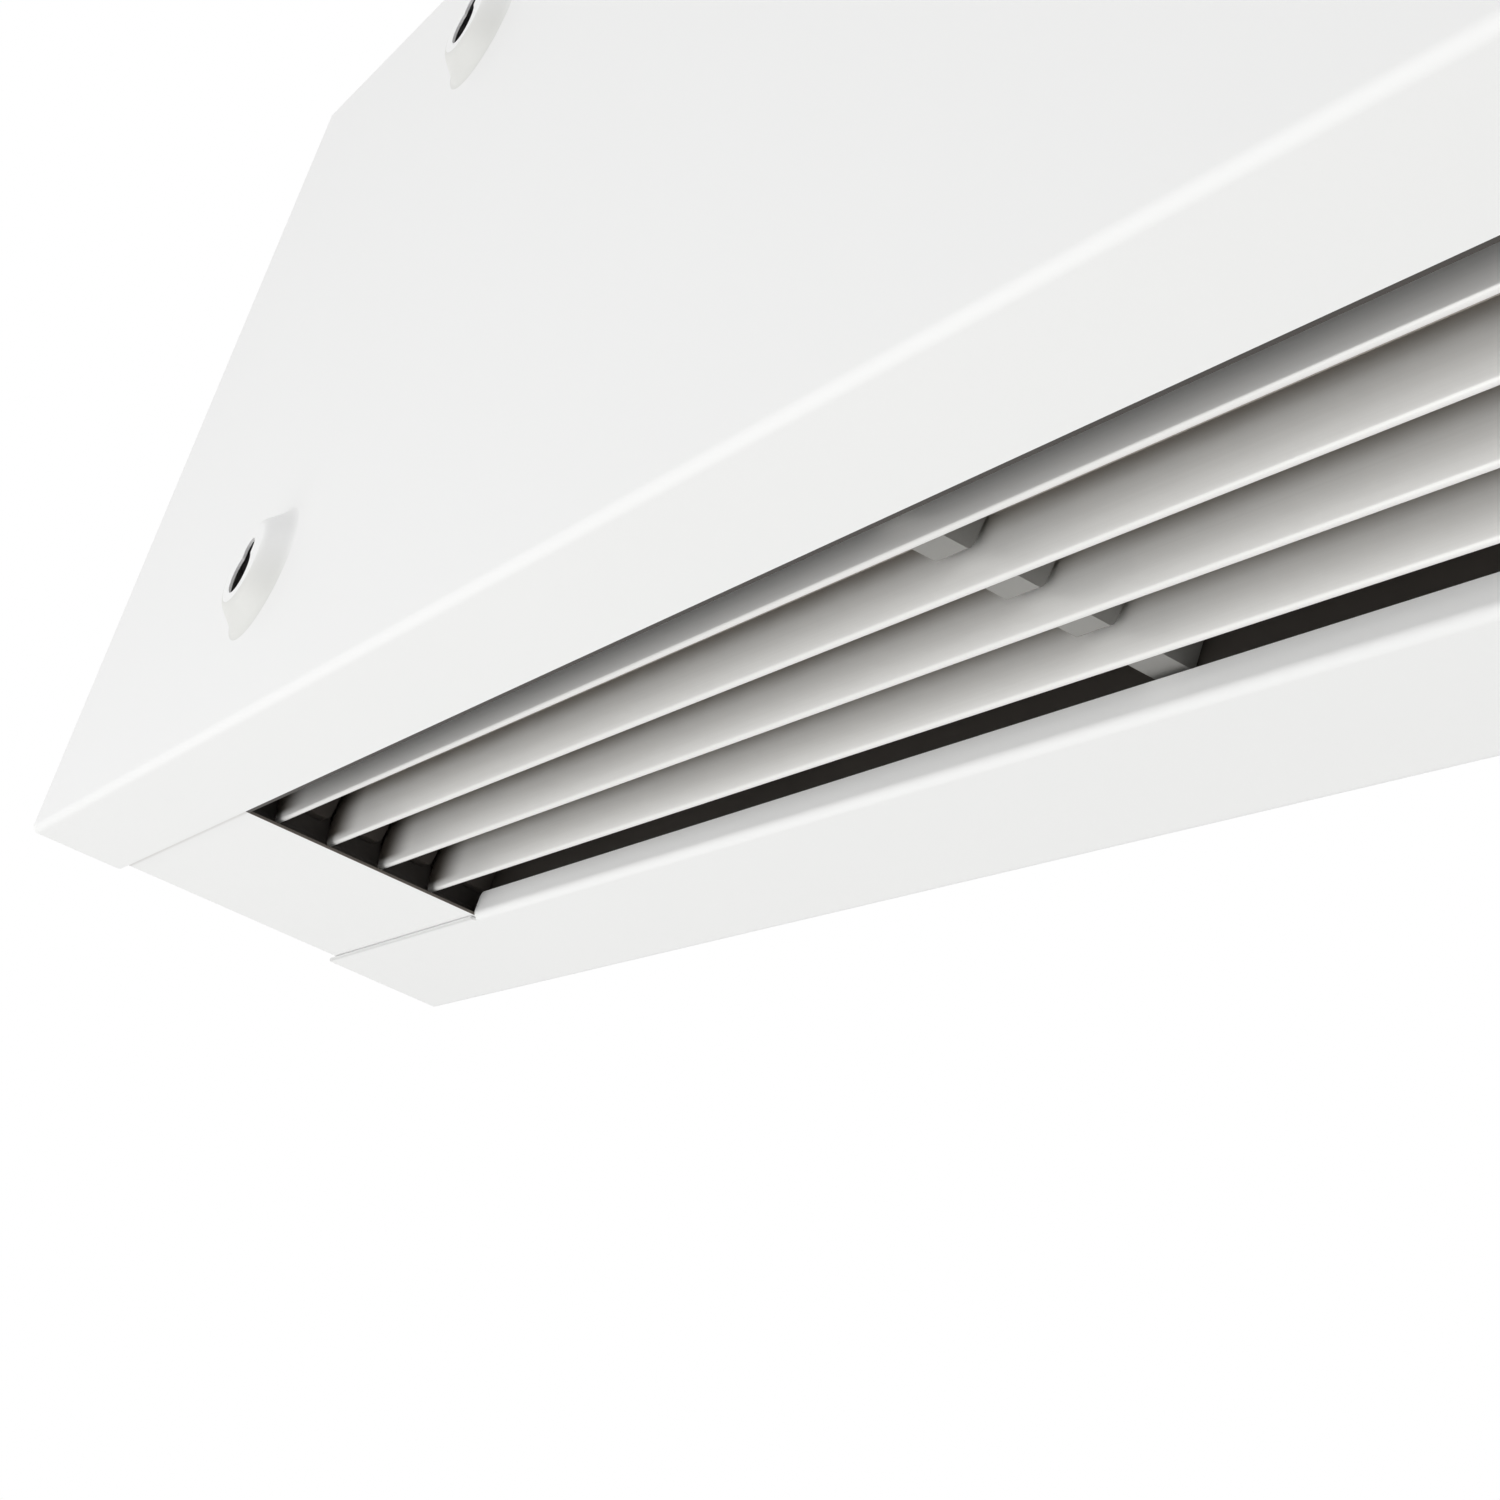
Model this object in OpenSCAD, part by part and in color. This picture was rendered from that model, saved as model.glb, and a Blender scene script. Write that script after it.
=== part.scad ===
// Wall-hung air curtain: a folded sheet casing with a louvred intake in its front, a cross-flow
// rotor in a spiral scroll, a bank of finned heating elements and four adjustable outlet slats.
// The casing hangs on four keyholes in raised bosses. Millimetres, +Z up, the front faces -Y,
// and the origin is the centre of the four keyholes on the wall's face.

/* [Casing] */
// Length of the casing
case_l = 1215; // [1100:5:1500]
// Depth of the casing, from its back to its front
case_d = 190; // [188:1:215]
// Height of the casing
case_h = 355; // [350:1:400]
// Thickness of the casing sheet
sheet_t = 1; // [0.8:0.1:1.5]
// Outer radius of the bends in the casing sheet
bend_r = 3; // [2:0.5:4]
// Depth of the rear strip below the outlet
rear_strip_d = 39.5; // [34:0.5:40]
// Depth of the front flange below the outlet
front_flange_d = 53.5; // [50:0.5:55]
// Height of the lip that stands along the front flange
lip_h = 10.5; // [6:0.5:11]
// Rounding of the flanges' corners
corner_r = 2.5; // [1:0.5:4]
// Depth of the front cover's top, up to its joint with the top panel
cover_top_d = 30; // [25:1:40]
// Width of the rebate that the front cover rests on
rebate_w = 16; // [12:1:20]
// Gap in the joint between the top panel and the front cover
cover_joint = 1; // [0.5:0.1:2]

/* [Ends] */
// Distance of the end plates inside the casing's ends
end_inset = 5; // [3:0.5:10]
// Distance from the casing's end to the outlet
end_len = 162; // [150:1:200]
// Distance of the side plates outside the outlet's ends
plate_step = 10; // [6:1:14]
// Width of the end plates' fixing flanges
flange_w = 15; // [10:1:20]

/* [Keyholes] */
// Distance from the casing's end to the keyholes
key_x = 226; // [200:1:300]
// Height of the lower keyholes
key_low_z = 65; // [50:1:90]
// Distance of the upper keyholes from the casing's top
key_top = 57; // [50:1:110]
// Height of the bosses
boss_h = 8; // [4:0.5:10]
// Radius of a boss at its foot
boss_foot_r = 26; // [22:0.5:32]
// Radius of the flat on a boss
boss_top_r = 15; // [14:0.5:18]
// Radius of a keyhole's entry
key_r = 8; // [6:0.5:8.5]
// Radius of a keyhole's slot
key_slot_r = 4.5; // [2.5:0.5:5]
// Rise of the slot above the entry
key_rise = 9; // [8:0.5:11]
// Drop of the entry below the boss's centre
key_drop = 3.5; // [3:0.5:5]

/* [Outlet slats] */
// Distance from the rear strip's edge to the first slat
slat_rear_gap = 15.5; // [13:0.5:18]
// Distance from the front flange's edge to the last slat
slat_front_gap = 17; // [14:0.5:19]
// Chord of a slat
slat_chord = 38; // [34:0.5:40]
// Greatest thickness of a slat's blade
slat_t = 5.2; // [4:0.1:5.6]
// Height of the blade's thickest place above the nose
belly_up = 9.5; // [8:0.5:13]
// Radius of a slat's nose
nose_r = 0.85; // [0.7:0.05:1.2]
// Radius of a slat's upper edge
head_r = 1.2; // [0.8:0.1:1.8]
// Radius of the round bead that a slat turns on
bead_r = 3.4; // [3.2:0.1:4]
// Height of the slats' noses
nose_z = 4; // [3.5:0.5:6]
// Height of the bead above the nose
bead_up = 21.5; // [17:0.5:24]
// Gap between a slat's end and the side plate
slat_end_gap = 3.2; // [2:0.1:6]
// Angle that a slat turns each way
swing = 6; // [4:1:10]

/* [Slat combs] */
// Width of the comb at mid-length
mid_comb_w = 15; // [10:1:20]
// Width of the combs at the ends
end_comb_w = 7; // [6:0.5:12]
// Height of the combs' fingers above the casing's bottom
comb_z = 12.5; // [11.5:0.1:15]
// Thickness of the combs' back above the slats
comb_back = 7; // [5:0.5:12]
// Rounding of the fingers' corners
finger_r = 1.5; // [1:0.25:2]

/* [Rotor] */
// Radius of the rotor
rotor_r = 56; // [50:1:57]
// Radius inside the rotor's blades
blade_in_r = 44; // [38:1:46]
// Number of blades
blade_n = 28; // [20:1:36]
// Thickness of a blade
blade_t = 1.2; // [0.8:0.1:1.6]
// Radius of the blades' curve
blade_curve_r = 9; // [8:0.5:12]
// Number of stretches between the rotor's rings
rotor_bays = 6; // [4:1:8]
// Thickness of a ring
ring_t = 1.5; // [1:0.1:3]
// Distance of the rotor's axis from the casing's front
rotor_front = 82; // [80:1:85]
// Distance of the rotor's axis from the casing's top
rotor_top = 150; // [145:1:155]
// Radius of the shafts
shaft_r = 4; // [3:0.5:5]

/* [Scroll] */
// Gap between the rotor and the scroll's start
scroll_gap = 4; // [3:0.5:6]
// Growth of the scroll's radius from its start to the duct
scroll_growth = 6; // [4:0.5:8]
// Angle where the scroll starts
scroll_from = 115; // [100:1:130]
// Thickness of the inner sheets
inner_t = 1; // [0.8:0.1:1.5]
// Distance of the duct's front wall behind the outlet's front edge
duct_step = 4; // [2.5:0.5:8]
// Angle of the tongue at the rotor
tongue_angle = 205; // [198:1:212]

/* [Heating] */
// Radius of a heating rod
heat_rod_r = 4.2; // [3:0.1:5]
// Radius of a fin
fin_r = 11; // [8:0.5:12]
// Distance from fin to fin
fin_pitch = 10; // [8:0.5:20]
// Thickness of a fin
fin_t = 0.8; // [0.5:0.1:1.2]
// Distance of the outer rods from the duct's walls
heat_gap = 24; // [20:0.5:26]
// Drop of the outer rods below the rotor's axis
heat_drop = 106; // [102:1:112]
// Rise of the middle rod
heat_rise = 17; // [10:1:20]

/* [Intake] */
// Distance of the intake window from the casing's top
window_top = 23; // [21:1:30]
// Height of the intake window
window_h = 132; // [100:1:134]
// Thickness of the grille
grille_t = 10; // [8:0.5:12]
// Width of the grille's frame
grille_rim = 10; // [8:0.5:15]
// Distance from louvre to louvre
louvre_pitch = 14; // [12:0.5:20]
// Angle of the louvres
louvre_angle = 35; // [20:1:45]
// Number of fields between the grille's uprights
grille_fields = 8; // [4:1:10]
// Radius of the grille's hinge knuckle
knuckle_r = 3; // [2.5:0.25:3.5]
// Thickness of the filter
filter_t = 7; // [4:0.5:8]

/* [Motor and electrics] */
// Radius of the motor
motor_r = 45; // [38:1:50]
// Length of the motor
motor_l = 66; // [55:1:80]
// Radius of the bore in the cable gland
gland_bore_r = 6.5; // [4:0.5:8]
// Distance of the gland from the casing's end
gland_x = 80; // [60:1:110]
// Distance of the gland from the casing's back
gland_y = 45; // [30:1:80]

/* [Hidden] */
$fn = 48;

// Clearance at a seat between fixed pieces
fit = 0.3;
// Radial clearance of a shaft or pin that turns in its bore
run_fit = 0.05;
// Overlap that makes a cut go right through
cut = 1;

wall_y = boss_h;
key_high_z = case_h - key_top;
pattern_z = (key_low_z + key_high_z) / 2 - key_drop;
half_l = case_l / 2;
top_d = case_d - cover_top_d;
open_x = half_l - end_len;
plate_x = open_x + plate_step;
end_x = half_l - end_inset;
inside_z = sheet_t + fit;
inside_top = case_h - sheet_t - fit;
inside_back = -sheet_t - fit;
inside_front = -case_d + sheet_t + fit;
bead_z = nose_z + bead_up;
slat_n = 4;
slat_first = rear_strip_d + slat_rear_gap;
slat_last = case_d - front_flange_d - slat_front_gap;
slat_pitch = (slat_last - slat_first) / (slat_n - 1);
rebate_drop = sheet_t + fit;
seam_y = -case_d + front_flange_d;
rotor_y = case_d - rotor_front;
rotor_z = case_h - rotor_top;
rotor_pos = [-rotor_y, rotor_z];
duct_rear = rotor_y - rotor_r - scroll_gap - scroll_growth;
duct_front = case_d - front_flange_d + duct_step;
window_z = case_h - window_top - window_h;

// The whole part is drawn with its back at Y 0 and its bottom at Z 0, and then set on its keyholes.
module on_keyholes() {
    translate([0, -wall_y, -pattern_z]) children();
}

// A profile drawn in Y and Z, extruded along the casing from x0 to x1
module along_x(x0, x1) {
    translate([x0, 0, 0]) rotate([90, 0, 90]) linear_extrude(height = x1 - x0) children();
}

// A profile drawn in X and Z, extruded through the depth from y0 to y1
module along_y(y0, y1) {
    translate([0, y1, 0]) rotate([90, 0, 0]) linear_extrude(height = y1 - y0) children();
}

// A profile drawn in X and Y, extruded upwards from z0 to z1
module along_z(z0, z1) {
    translate([0, 0, z0]) linear_extrude(height = z1 - z0) children();
}

// A block from its lowest to its highest corner
module block(low, high) {
    translate(low) cube(high - low);
}

// A round bar along X
module bar_x(x0, x1, pos, r) {
    translate([x0, pos[0], pos[1]]) rotate([0, 90, 0]) cylinder(h = x1 - x0, r = r);
}

// A turned piece about an axis along X, from a profile of [distance along X, radius]
module turned_x(pos, profile) {
    translate([0, pos[0], pos[1]]) rotate([0, 90, 0])
        rotate_extrude() polygon([for (p = profile) [p[1], p[0]]]);
}

// A folded sheet seen from its edge. The path runs along one face with the metal on its left,
// and every fold is a right angle with the outer radius r.
module folded(path, t, r) {
    last = len(path) - 1;
    for (i = [0 : last - 1]) {
        step = path[i + 1] - path[i];
        d = step / norm(step);
        n = [-d[1], d[0]];
        a = path[i] + (i > 0 ? r : 0) * d;
        b = path[i + 1] - (i < last - 1 ? r : 0) * d;
        polygon([a, b, b + t * n, a + t * n]);
        if (i < last - 1) {
            next = path[i + 2] - path[i + 1];
            side = d[0] * next[1] - d[1] * next[0] > 0 ? 1 : -1;
            far = side > 0 ? r : r + t;
            c = path[i + 1] - r * d + side * r * n;
            intersection() {
                translate(c) difference() {
                    circle(r = far);
                    circle(r = far - t);
                }
                polygon([c, c + far * d, c + far * d - side * far * n, c - side * far * n]);
            }
        }
    }
}

// What is cut off a square corner at the origin to round it
module corner_off(r) {
    difference() {
        translate([-cut, -cut]) square([r + cut, r + cut]);
        translate([r, r]) circle(r = r);
    }
}

// Flank of a boss from its foot to its flat: a cone, rounded over a share of its width at each end
boss_steps = 5;
boss_round = 0.3;
function boss_fillet(u) = u * u / (2 * boss_round * (1 - boss_round));
function boss_point(u, rise, drop) =
    [boss_foot_r + (boss_top_r - boss_foot_r) * u, boss_h * rise - drop];
function boss_curve(drop) = concat(
    [for (i = [0 : boss_steps]) let (u = boss_round * i / boss_steps)
        boss_point(u, boss_fillet(u), drop)],
    [for (i = [boss_steps : -1 : 0]) let (u = boss_round * i / boss_steps)
        boss_point(1 - u, 1 - boss_fillet(u), drop)]);

module boss_shell() {
    outer = boss_curve(0);
    inner = boss_curve(sheet_t);
    last = len(inner) - 1;
    flipped = [for (i = [0 : last]) inner[last - i]];
    rotate([-90, 0, 0]) rotate_extrude()
        polygon(concat(outer, [[0, boss_h], [0, boss_h - sheet_t]], flipped));
}

module keyhole_cut() {
    translate([0, boss_h + cut, -key_drop]) rotate([90, 0, 0]) {
        cylinder(h = boss_h + sheet_t + 2 * cut, r = key_r);
        translate([0, key_rise, 0]) cylinder(h = boss_h + sheet_t + 2 * cut, r = key_slot_r);
        translate([-key_slot_r, 0, 0])
            cube([2 * key_slot_r, key_rise, boss_h + sheet_t + 2 * cut]);
    }
}

module at_keyholes() {
    for (side = [-1, 1]) {
        for (z = [key_low_z, key_high_z]) {
            translate([side * (half_l - key_x), 0, z]) children();
        }
    }
}

// Places of the screws that hold the front cover to the rebate of the top panel
screw_n = 5;
screw_r = 2;
screw_end = 110;
screw_pitch = (case_l - 2 * screw_end) / (screw_n - 1);
screw_y = -top_d - (cover_joint + rebate_w) / 2;

module at_cover_screws() {
    for (i = [0 : screw_n - 1]) {
        translate([(i - (screw_n - 1) / 2) * screw_pitch, screw_y, 0]) children();
    }
}

// Rear strip, back and top in one folded sheet, with four keyholes in raised bosses
module back_profile() {
    step_y = -top_d - cover_joint;
    end_y = -top_d - rebate_w;
    low_z = case_h - rebate_drop;
    folded([[-rear_strip_d, 0], [0, 0], [0, case_h], [-top_d + cut, case_h]], sheet_t, bend_r);
    polygon([[-top_d + 2 * cut, case_h], [-top_d, case_h], [step_y, low_z], [end_y, low_z],
        [end_y, low_z - sheet_t], [step_y + sheet_t / 3, low_z - sheet_t],
        [-top_d + sheet_t / 3, case_h - sheet_t], [-top_d + 2 * cut, case_h - sheet_t]]);
}

module back_panel() {
    color("whitesmoke") on_keyholes() difference() {
        union() {
            difference() {
                along_x(-half_l, half_l) back_profile();
                at_keyholes() rotate([90, 0, 0])
                    cylinder(h = 4 * sheet_t, r = boss_foot_r, center = true);
            }
            at_keyholes() boss_shell();
        }
        at_keyholes() keyhole_cut();
        for (side = [0, 1]) {
            mirror([side, 0, 0]) translate([half_l, -rear_strip_d, 0]) rotate([0, 0, 90])
                along_z(-cut, sheet_t + cut) corner_off(corner_r);
        }
        at_cover_screws() translate([0, 0, case_h])
            cylinder(h = 8 * sheet_t, r = screw_r + fit / 3, center = true);
        at_gland(case_h) cylinder(h = 4 * sheet_t, r = gland_r + fit, center = true);
    }
}

// Front, bottom flange and top flange in one folded sheet. The lip stands along the outlet.
ear_t = 2;
ear_h = 12;
window_x = open_x;
hinge_pos = [-case_d + knuckle_r, window_z + knuckle_r + fit];
pin_r = 1.5;
cover_top_z = case_h - rebate_drop + fit + sheet_t;

relief = 2;

module front_cover() {
    color("whitesmoke") on_keyholes() difference() {
        union() {
            along_x(-half_l, half_l) folded([[-top_d - cover_joint, cover_top_z],
                [-case_d, cover_top_z], [-case_d, 0], [seam_y - bend_r, 0]], sheet_t, bend_r);
            along_x(-open_x, open_x) folded([[seam_y - 2 * bend_r, 0], [seam_y, 0],
                [seam_y, lip_h]], sheet_t, bend_r);
            for (side = [-1, 1]) {
                block([side > 0 ? open_x : -half_l, seam_y - bend_r - cut, 0],
                    [side > 0 ? half_l : -open_x, seam_y, sheet_t]);
                block([side > 0 ? window_x + fit : -window_x - fit - ear_t,
                    -case_d + sheet_t / 2, window_z - ear_h / 4],
                    [side > 0 ? window_x + fit + ear_t : -window_x - fit,
                    -case_d + ear_h, window_z + ear_h * 3 / 4]);
            }
        }
        block([-window_x, -case_d - cut, window_z],
            [window_x, -case_d + sheet_t + cut / 2, window_z + window_h]);
        bar_x(-half_l, half_l, hinge_pos, pin_r + run_fit);
        at_cover_screws() translate([0, 0, case_h])
            cylinder(h = 8 * sheet_t, r = screw_r + fit, center = true);
        for (side = [0, 1]) {
            mirror([side, 0, 0]) {
                translate([open_x, 0, lip_h]) rotate([0, 180, 0])
                    along_y(seam_y - 2 * bend_r, seam_y + cut) corner_off(corner_r);
                block([open_x, seam_y - relief, -cut], [open_x + relief, seam_y + cut,
                    sheet_t + cut]);
                translate([half_l, seam_y, 0]) rotate([0, 0, 180])
                    along_z(-cut, sheet_t + cut) corner_off(corner_r);
            }
        }
    }
}

// End plate with its bottom flange, which closes the casing beside the outlet. Its corners are
// notched beside the casing's bends.
module end_plate() {
    color("whitesmoke") union() {
        along_y(inside_front + bend_r, inside_back - bend_r) folded([[open_x, inside_z], [end_x, inside_z],
            [end_x, inside_top - rebate_drop], [end_x - flange_w, inside_top - rebate_drop]],
            sheet_t, bend_r);
        along_z(inside_z + flange_w, inside_top - rebate_drop - flange_w)
            folded([[end_x - flange_w, inside_front], [end_x, inside_front],
            [end_x, inside_back], [end_x - flange_w, inside_back]], sheet_t, bend_r);
    }
}

module end_plate_left() {
    on_keyholes() mirror([1, 0, 0]) end_plate();
}

module end_plate_right() {
    on_keyholes() end_plate();
}

// Side plates close the air path at each end of the rotor and carry the heating rods.
side_top = inside_top - rebate_drop;
housing_r = 30;
hub_hole_r = 19;
heat_step = (duct_front - duct_rear) / 2 - heat_gap;
heat_z = rotor_z - heat_drop;
function heat_pos(i) =
    [-duct_rear - heat_gap - i * heat_step, heat_z + (i == 1 ? heat_rise : 0)];

module side_plate(drive) {
    x0 = plate_x + fit;
    y_back = inside_back;
    y_front = inside_front + grille_t + filter_t + fit;
    foot_z = inside_z + sheet_t + fit + inner_t;
    difference() {
        union() {
            along_y(y_front, y_back) folded([[x0 + flange_w, foot_z], [x0 + inner_t, foot_z],
                [x0 + inner_t, side_top]], inner_t, bend_r);
            along_z(inside_z + 2 * flange_w, side_top - flange_w)
                folded([[x0 + flange_w, y_back], [x0, y_back],
                [x0, y_front]], inner_t, bend_r);
        }
        bar_x(x0 - cut, x0 + flange_w, rotor_pos, hub_hole_r);
        for (i = [0 : 2]) {
            bar_x(x0 - cut, x0 + 3 * inner_t, heat_pos(i), heat_rod_r + fit);
        }
        if (drive) {
            bar_x(x0 - cut, x0 + 3 * inner_t, thermo_pos, thermo_r + fit);
        }
    }
}

module side_plate_left() {
    color("dimgray") on_keyholes() mirror([1, 0, 0]) side_plate(true);
}

module side_plate_right() {
    color("dimgray") on_keyholes() side_plate(false);
}

// The duct's sheets reach past the outlet's ends and are notched there for the end plates' flanges.
module duct_sheet() {
    difference() {
        along_x(-plate_x, plate_x) children();
        for (side = [0, 1]) {
            mirror([side, 0, 0]) block([open_x - fit, -case_d, 0],
                [plate_x + cut, 0, inside_z + sheet_t + fit]);
        }
    }
}

// Sheet that wraps the back of the rotor in a spiral and forms the duct's rear wall
scroll_steps = 20;
function scroll_r(a) = rotor_r + scroll_gap + scroll_growth * (1 - a / scroll_from);
function scroll_point(a, out) =
    rotor_pos + (scroll_r(a) + out) * [cos(a), sin(a)];

module fan_scroll() {
    angles = [for (i = [0 : scroll_steps]) scroll_from * i / scroll_steps];
    back = [for (i = [0 : scroll_steps]) angles[scroll_steps - i]];
    start = scroll_point(scroll_from, 0);
    top = inside_top;
    edge_y = start[0] + inner_t;
    edge_z = rotor_z + sqrt(pow(rotor_r + scroll_gap + inner_t, 2) - pow(edge_y + rotor_y, 2));
    color("dimgray") on_keyholes() duct_sheet()
        polygon(concat([[-duct_rear + flange_w, inside_z], [-duct_rear + flange_w,
            inside_z + inner_t], [-duct_rear + inner_t, inside_z + inner_t]],
            [for (a = angles) if (scroll_point(a, inner_t)[0] > edge_y)
                scroll_point(a, inner_t)], [[edge_y, edge_z],
            [edge_y, top - inner_t], [start[0] + flange_w, top - inner_t],
            [start[0] + flange_w, top], [start[0], top]],
            [for (a = back) scroll_point(a, 0)], [[-duct_rear, inside_z]]));
}

// Sheet that forms the tongue at the rotor, the duct's front wall and the floor of the intake
tongue_r = 2;
tongue_pos = rotor_pos + (rotor_r + scroll_gap + tongue_r) * [cos(tongue_angle),
    sin(tongue_angle)];

module fan_tongue() {
    knee_z = heat_z + heat_rise + fin_r / 2;
    front = inside_front + grille_t + filter_t + fit;
    t = inner_t;
    y = tongue_pos[0];
    z = tongue_pos[1];
    color("dimgray") on_keyholes() union() {
        bar_x(-plate_x, plate_x, tongue_pos, tongue_r);
        duct_sheet() polygon([[y, z], [-duct_front, knee_z],
            [-duct_front, inside_z], [-duct_front - flange_w, inside_z],
            [-duct_front - flange_w, inside_z + t], [-duct_front - t, inside_z + t],
            [-duct_front - t, knee_z - t], [y - t, z - t], [front, z - t],
            [front, z + flange_w], [front + t, z + flange_w], [front + t, z]]);
    }
}

// Cross-flow rotor: curved blades round its rim, carried by rings
rotor_end_gap = 6;
rotor_x = plate_x - rotor_end_gap;
blade_in = 0.6;
blade_pitch_r = (rotor_r + blade_in_r) / 2;
ring_w = 4;
hub_r = 14;
hub_l = 12;
hub_out = 1.5;
hub_step = 4;

module blade_profile() {
    intersection() {
        translate([blade_pitch_r, 0]) difference() {
            circle(r = blade_curve_r);
            circle(r = blade_curve_r - blade_t);
        }
        difference() {
            circle(r = rotor_r - blade_in);
            circle(r = blade_in_r);
        }
        translate([0, blade_t]) square([rotor_r, rotor_r]);
    }
}

module ring(x, inner_r) {
    translate([x, -rotor_y, rotor_z]) rotate([0, 90, 0]) linear_extrude(height = ring_t)
        difference() {
            circle(r = rotor_r);
            circle(r = inner_r);
        }
}

module rotor() {
    bay = (2 * rotor_x - ring_t) / rotor_bays;
    color("gray") on_keyholes() union() {
        translate([-rotor_x, -rotor_y, rotor_z]) rotate([0, 90, 0])
            linear_extrude(height = 2 * rotor_x)
                for (i = [0 : blade_n - 1]) rotate(i * 360 / blade_n) blade_profile();
        for (i = [0 : rotor_bays]) {
            ring(-rotor_x + i * bay,
                i == 0 ? hub_r + run_fit : i == rotor_bays ? shaft_r + run_fit : blade_in_r - ring_w);
        }
    }
}

// Steel stub that carries the rotor in its bearing
bearing_gap = 8;
bearing_x = plate_x + bearing_gap;
bearing_l = 12;
stub_l = 10;
stub_r = 9;
stub_out = 4;
chamfer = 1;

module rotor_stub() {
    seat = rotor_x - ring_t - run_fit;
    end = bearing_x + bearing_l + stub_out;
    color("silver") on_keyholes() turned_x(rotor_pos, [[rotor_x - stub_l, 0],
        [rotor_x - stub_l, stub_r], [seat, stub_r], [seat, shaft_r], [end - chamfer, shaft_r],
        [end, shaft_r - chamfer], [end, 0]]);
}

// Rubber hub that takes the drive from the motor's shaft
module drive_hub() {
    x0 = -rotor_x - hub_out;
    seat = -rotor_x + ring_t + run_fit;
    color("dimgray") on_keyholes() turned_x(rotor_pos, [[x0, shaft_r + run_fit], [x0, hub_r],
        [seat, hub_r], [seat, hub_r + hub_step], [-rotor_x + hub_l, hub_r + hub_step],
        [-rotor_x + hub_l, shaft_r + run_fit]]);
}

motor_gap = 28;
motor_x = -plate_x - motor_gap;
motor_end = motor_x - motor_l;
boss_l = 14;
motor_boss_r = 17;
shaft_out = 18;

module motor_shaft() {
    x0 = motor_end - shaft_out;
    x1 = -rotor_x + hub_l;
    color("silver") on_keyholes() turned_x(rotor_pos, [[x0, 0], [x0, shaft_r - chamfer],
        [x0 + chamfer, shaft_r], [x1 - chamfer, shaft_r], [x1, shaft_r - chamfer], [x1, 0]]);
}

// Bearing at the rotor's free end: a bush in a rubber ring in a pressed cup
bush_r = 8;
rubber_r = 16;
rubber_lap = 2;
housing_lip = 3;

module bearing_bush() {
    color("goldenrod") on_keyholes() turned_x(rotor_pos, [[bearing_x, shaft_r + run_fit],
        [bearing_x, bush_r], [bearing_x + bearing_l, bush_r],
        [bearing_x + bearing_l, shaft_r + run_fit]]);
}

module bearing_rubber() {
    color("dimgray") on_keyholes() turned_x(rotor_pos, [
        [bearing_x - rubber_lap, bush_r + run_fit], [bearing_x - rubber_lap, rubber_r],
        [bearing_x + bearing_l, rubber_r],
        [bearing_x + bearing_l, bush_r + run_fit]]);
}

module bearing_housing() {
    x0 = plate_x + fit + inner_t + fit;
    x1 = bearing_x + bearing_l + run_fit;
    color("silver") on_keyholes() turned_x(rotor_pos, [[x0, rubber_r + run_fit],
        [x0, housing_r], [x0 + sheet_t, housing_r], [x0 + sheet_t, rubber_r + sheet_t],
        [x1 + sheet_t, rubber_r + sheet_t], [x1 + sheet_t, shaft_r + housing_lip],
        [x1, shaft_r + housing_lip], [x1, rubber_r + run_fit]]);
}

// Motor body with a round boss at each end, carried in rubber rings
motor_bevel = 6;

module motor() {
    bore = shaft_r + run_fit;
    m = motor_x;
    n = motor_end;
    b = motor_bevel;
    color("darkgray") on_keyholes() turned_x(rotor_pos, [[m + boss_l, bore],
        [m + boss_l, motor_boss_r - chamfer], [m + boss_l - chamfer, motor_boss_r],
        [m, motor_boss_r], [m, motor_r - b], [m - b, motor_r], [n + b, motor_r],
        [n, motor_r - b], [n, motor_boss_r], [n - boss_l + chamfer, motor_boss_r],
        [n - boss_l, motor_boss_r - chamfer], [n - boss_l, bore]]);
}

motor_ring_r = 22;
motor_ring_l = 8;
motor_ring_gap = 3;
function motor_ring_x(i) =
    i == 0 ? motor_x + motor_ring_gap : motor_end - motor_ring_gap - motor_ring_l;

module motor_rings() {
    color("dimgray") on_keyholes() for (i = [0, 1]) {
        x0 = motor_ring_x(i);
        turned_x(rotor_pos, [[x0, motor_boss_r + run_fit], [x0, motor_ring_r],
            [x0 + motor_ring_l, motor_ring_r], [x0 + motor_ring_l, motor_boss_r + run_fit]]);
    }
}

// Sheet cradle with two uprights that hold the motor's rubber rings
cradle_t = 2;
cradle_gap = 6;
cradle_rim = 8;
cradle_drop = 24;

module motor_cradle() {
    floor_z = rotor_z - motor_r - cradle_gap;
    half_w = motor_ring_r + cradle_rim;
    x_far = motor_ring_x(1);
    x_wall = -plate_x - fit - inner_t - fit;
    color("lightslategray") on_keyholes() difference() {
        union() {
            block([x_far, -rotor_y - half_w, floor_z], [x_wall, -rotor_y + half_w,
                floor_z + cradle_t]);
            block([x_wall - cradle_t, -rotor_y - half_w, floor_z - cradle_drop],
                [x_wall, -rotor_y + half_w, floor_z + cradle_t]);
            for (i = [0, 1]) {
                x0 = motor_ring_x(i) + (motor_ring_l - cradle_t) / 2;
                block([x0, -rotor_y - half_w, floor_z], [x0 + cradle_t, -rotor_y + half_w,
                    rotor_z]);
                bar_x(x0, x0 + cradle_t, rotor_pos, half_w);
            }
        }
        bar_x(x_far - cut, motor_ring_x(0) + motor_ring_l + cut, rotor_pos,
            motor_ring_r + run_fit);
    }
}

// Finned heating rods across the duct, bare where a bracket holds them
bracket_x = 145;
bracket_clear = 6;
bracket_rim = 5;
bracket_flange = 8;
heat_tail = 26;
stud_l = 12;
stud_r = 2;

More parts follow.
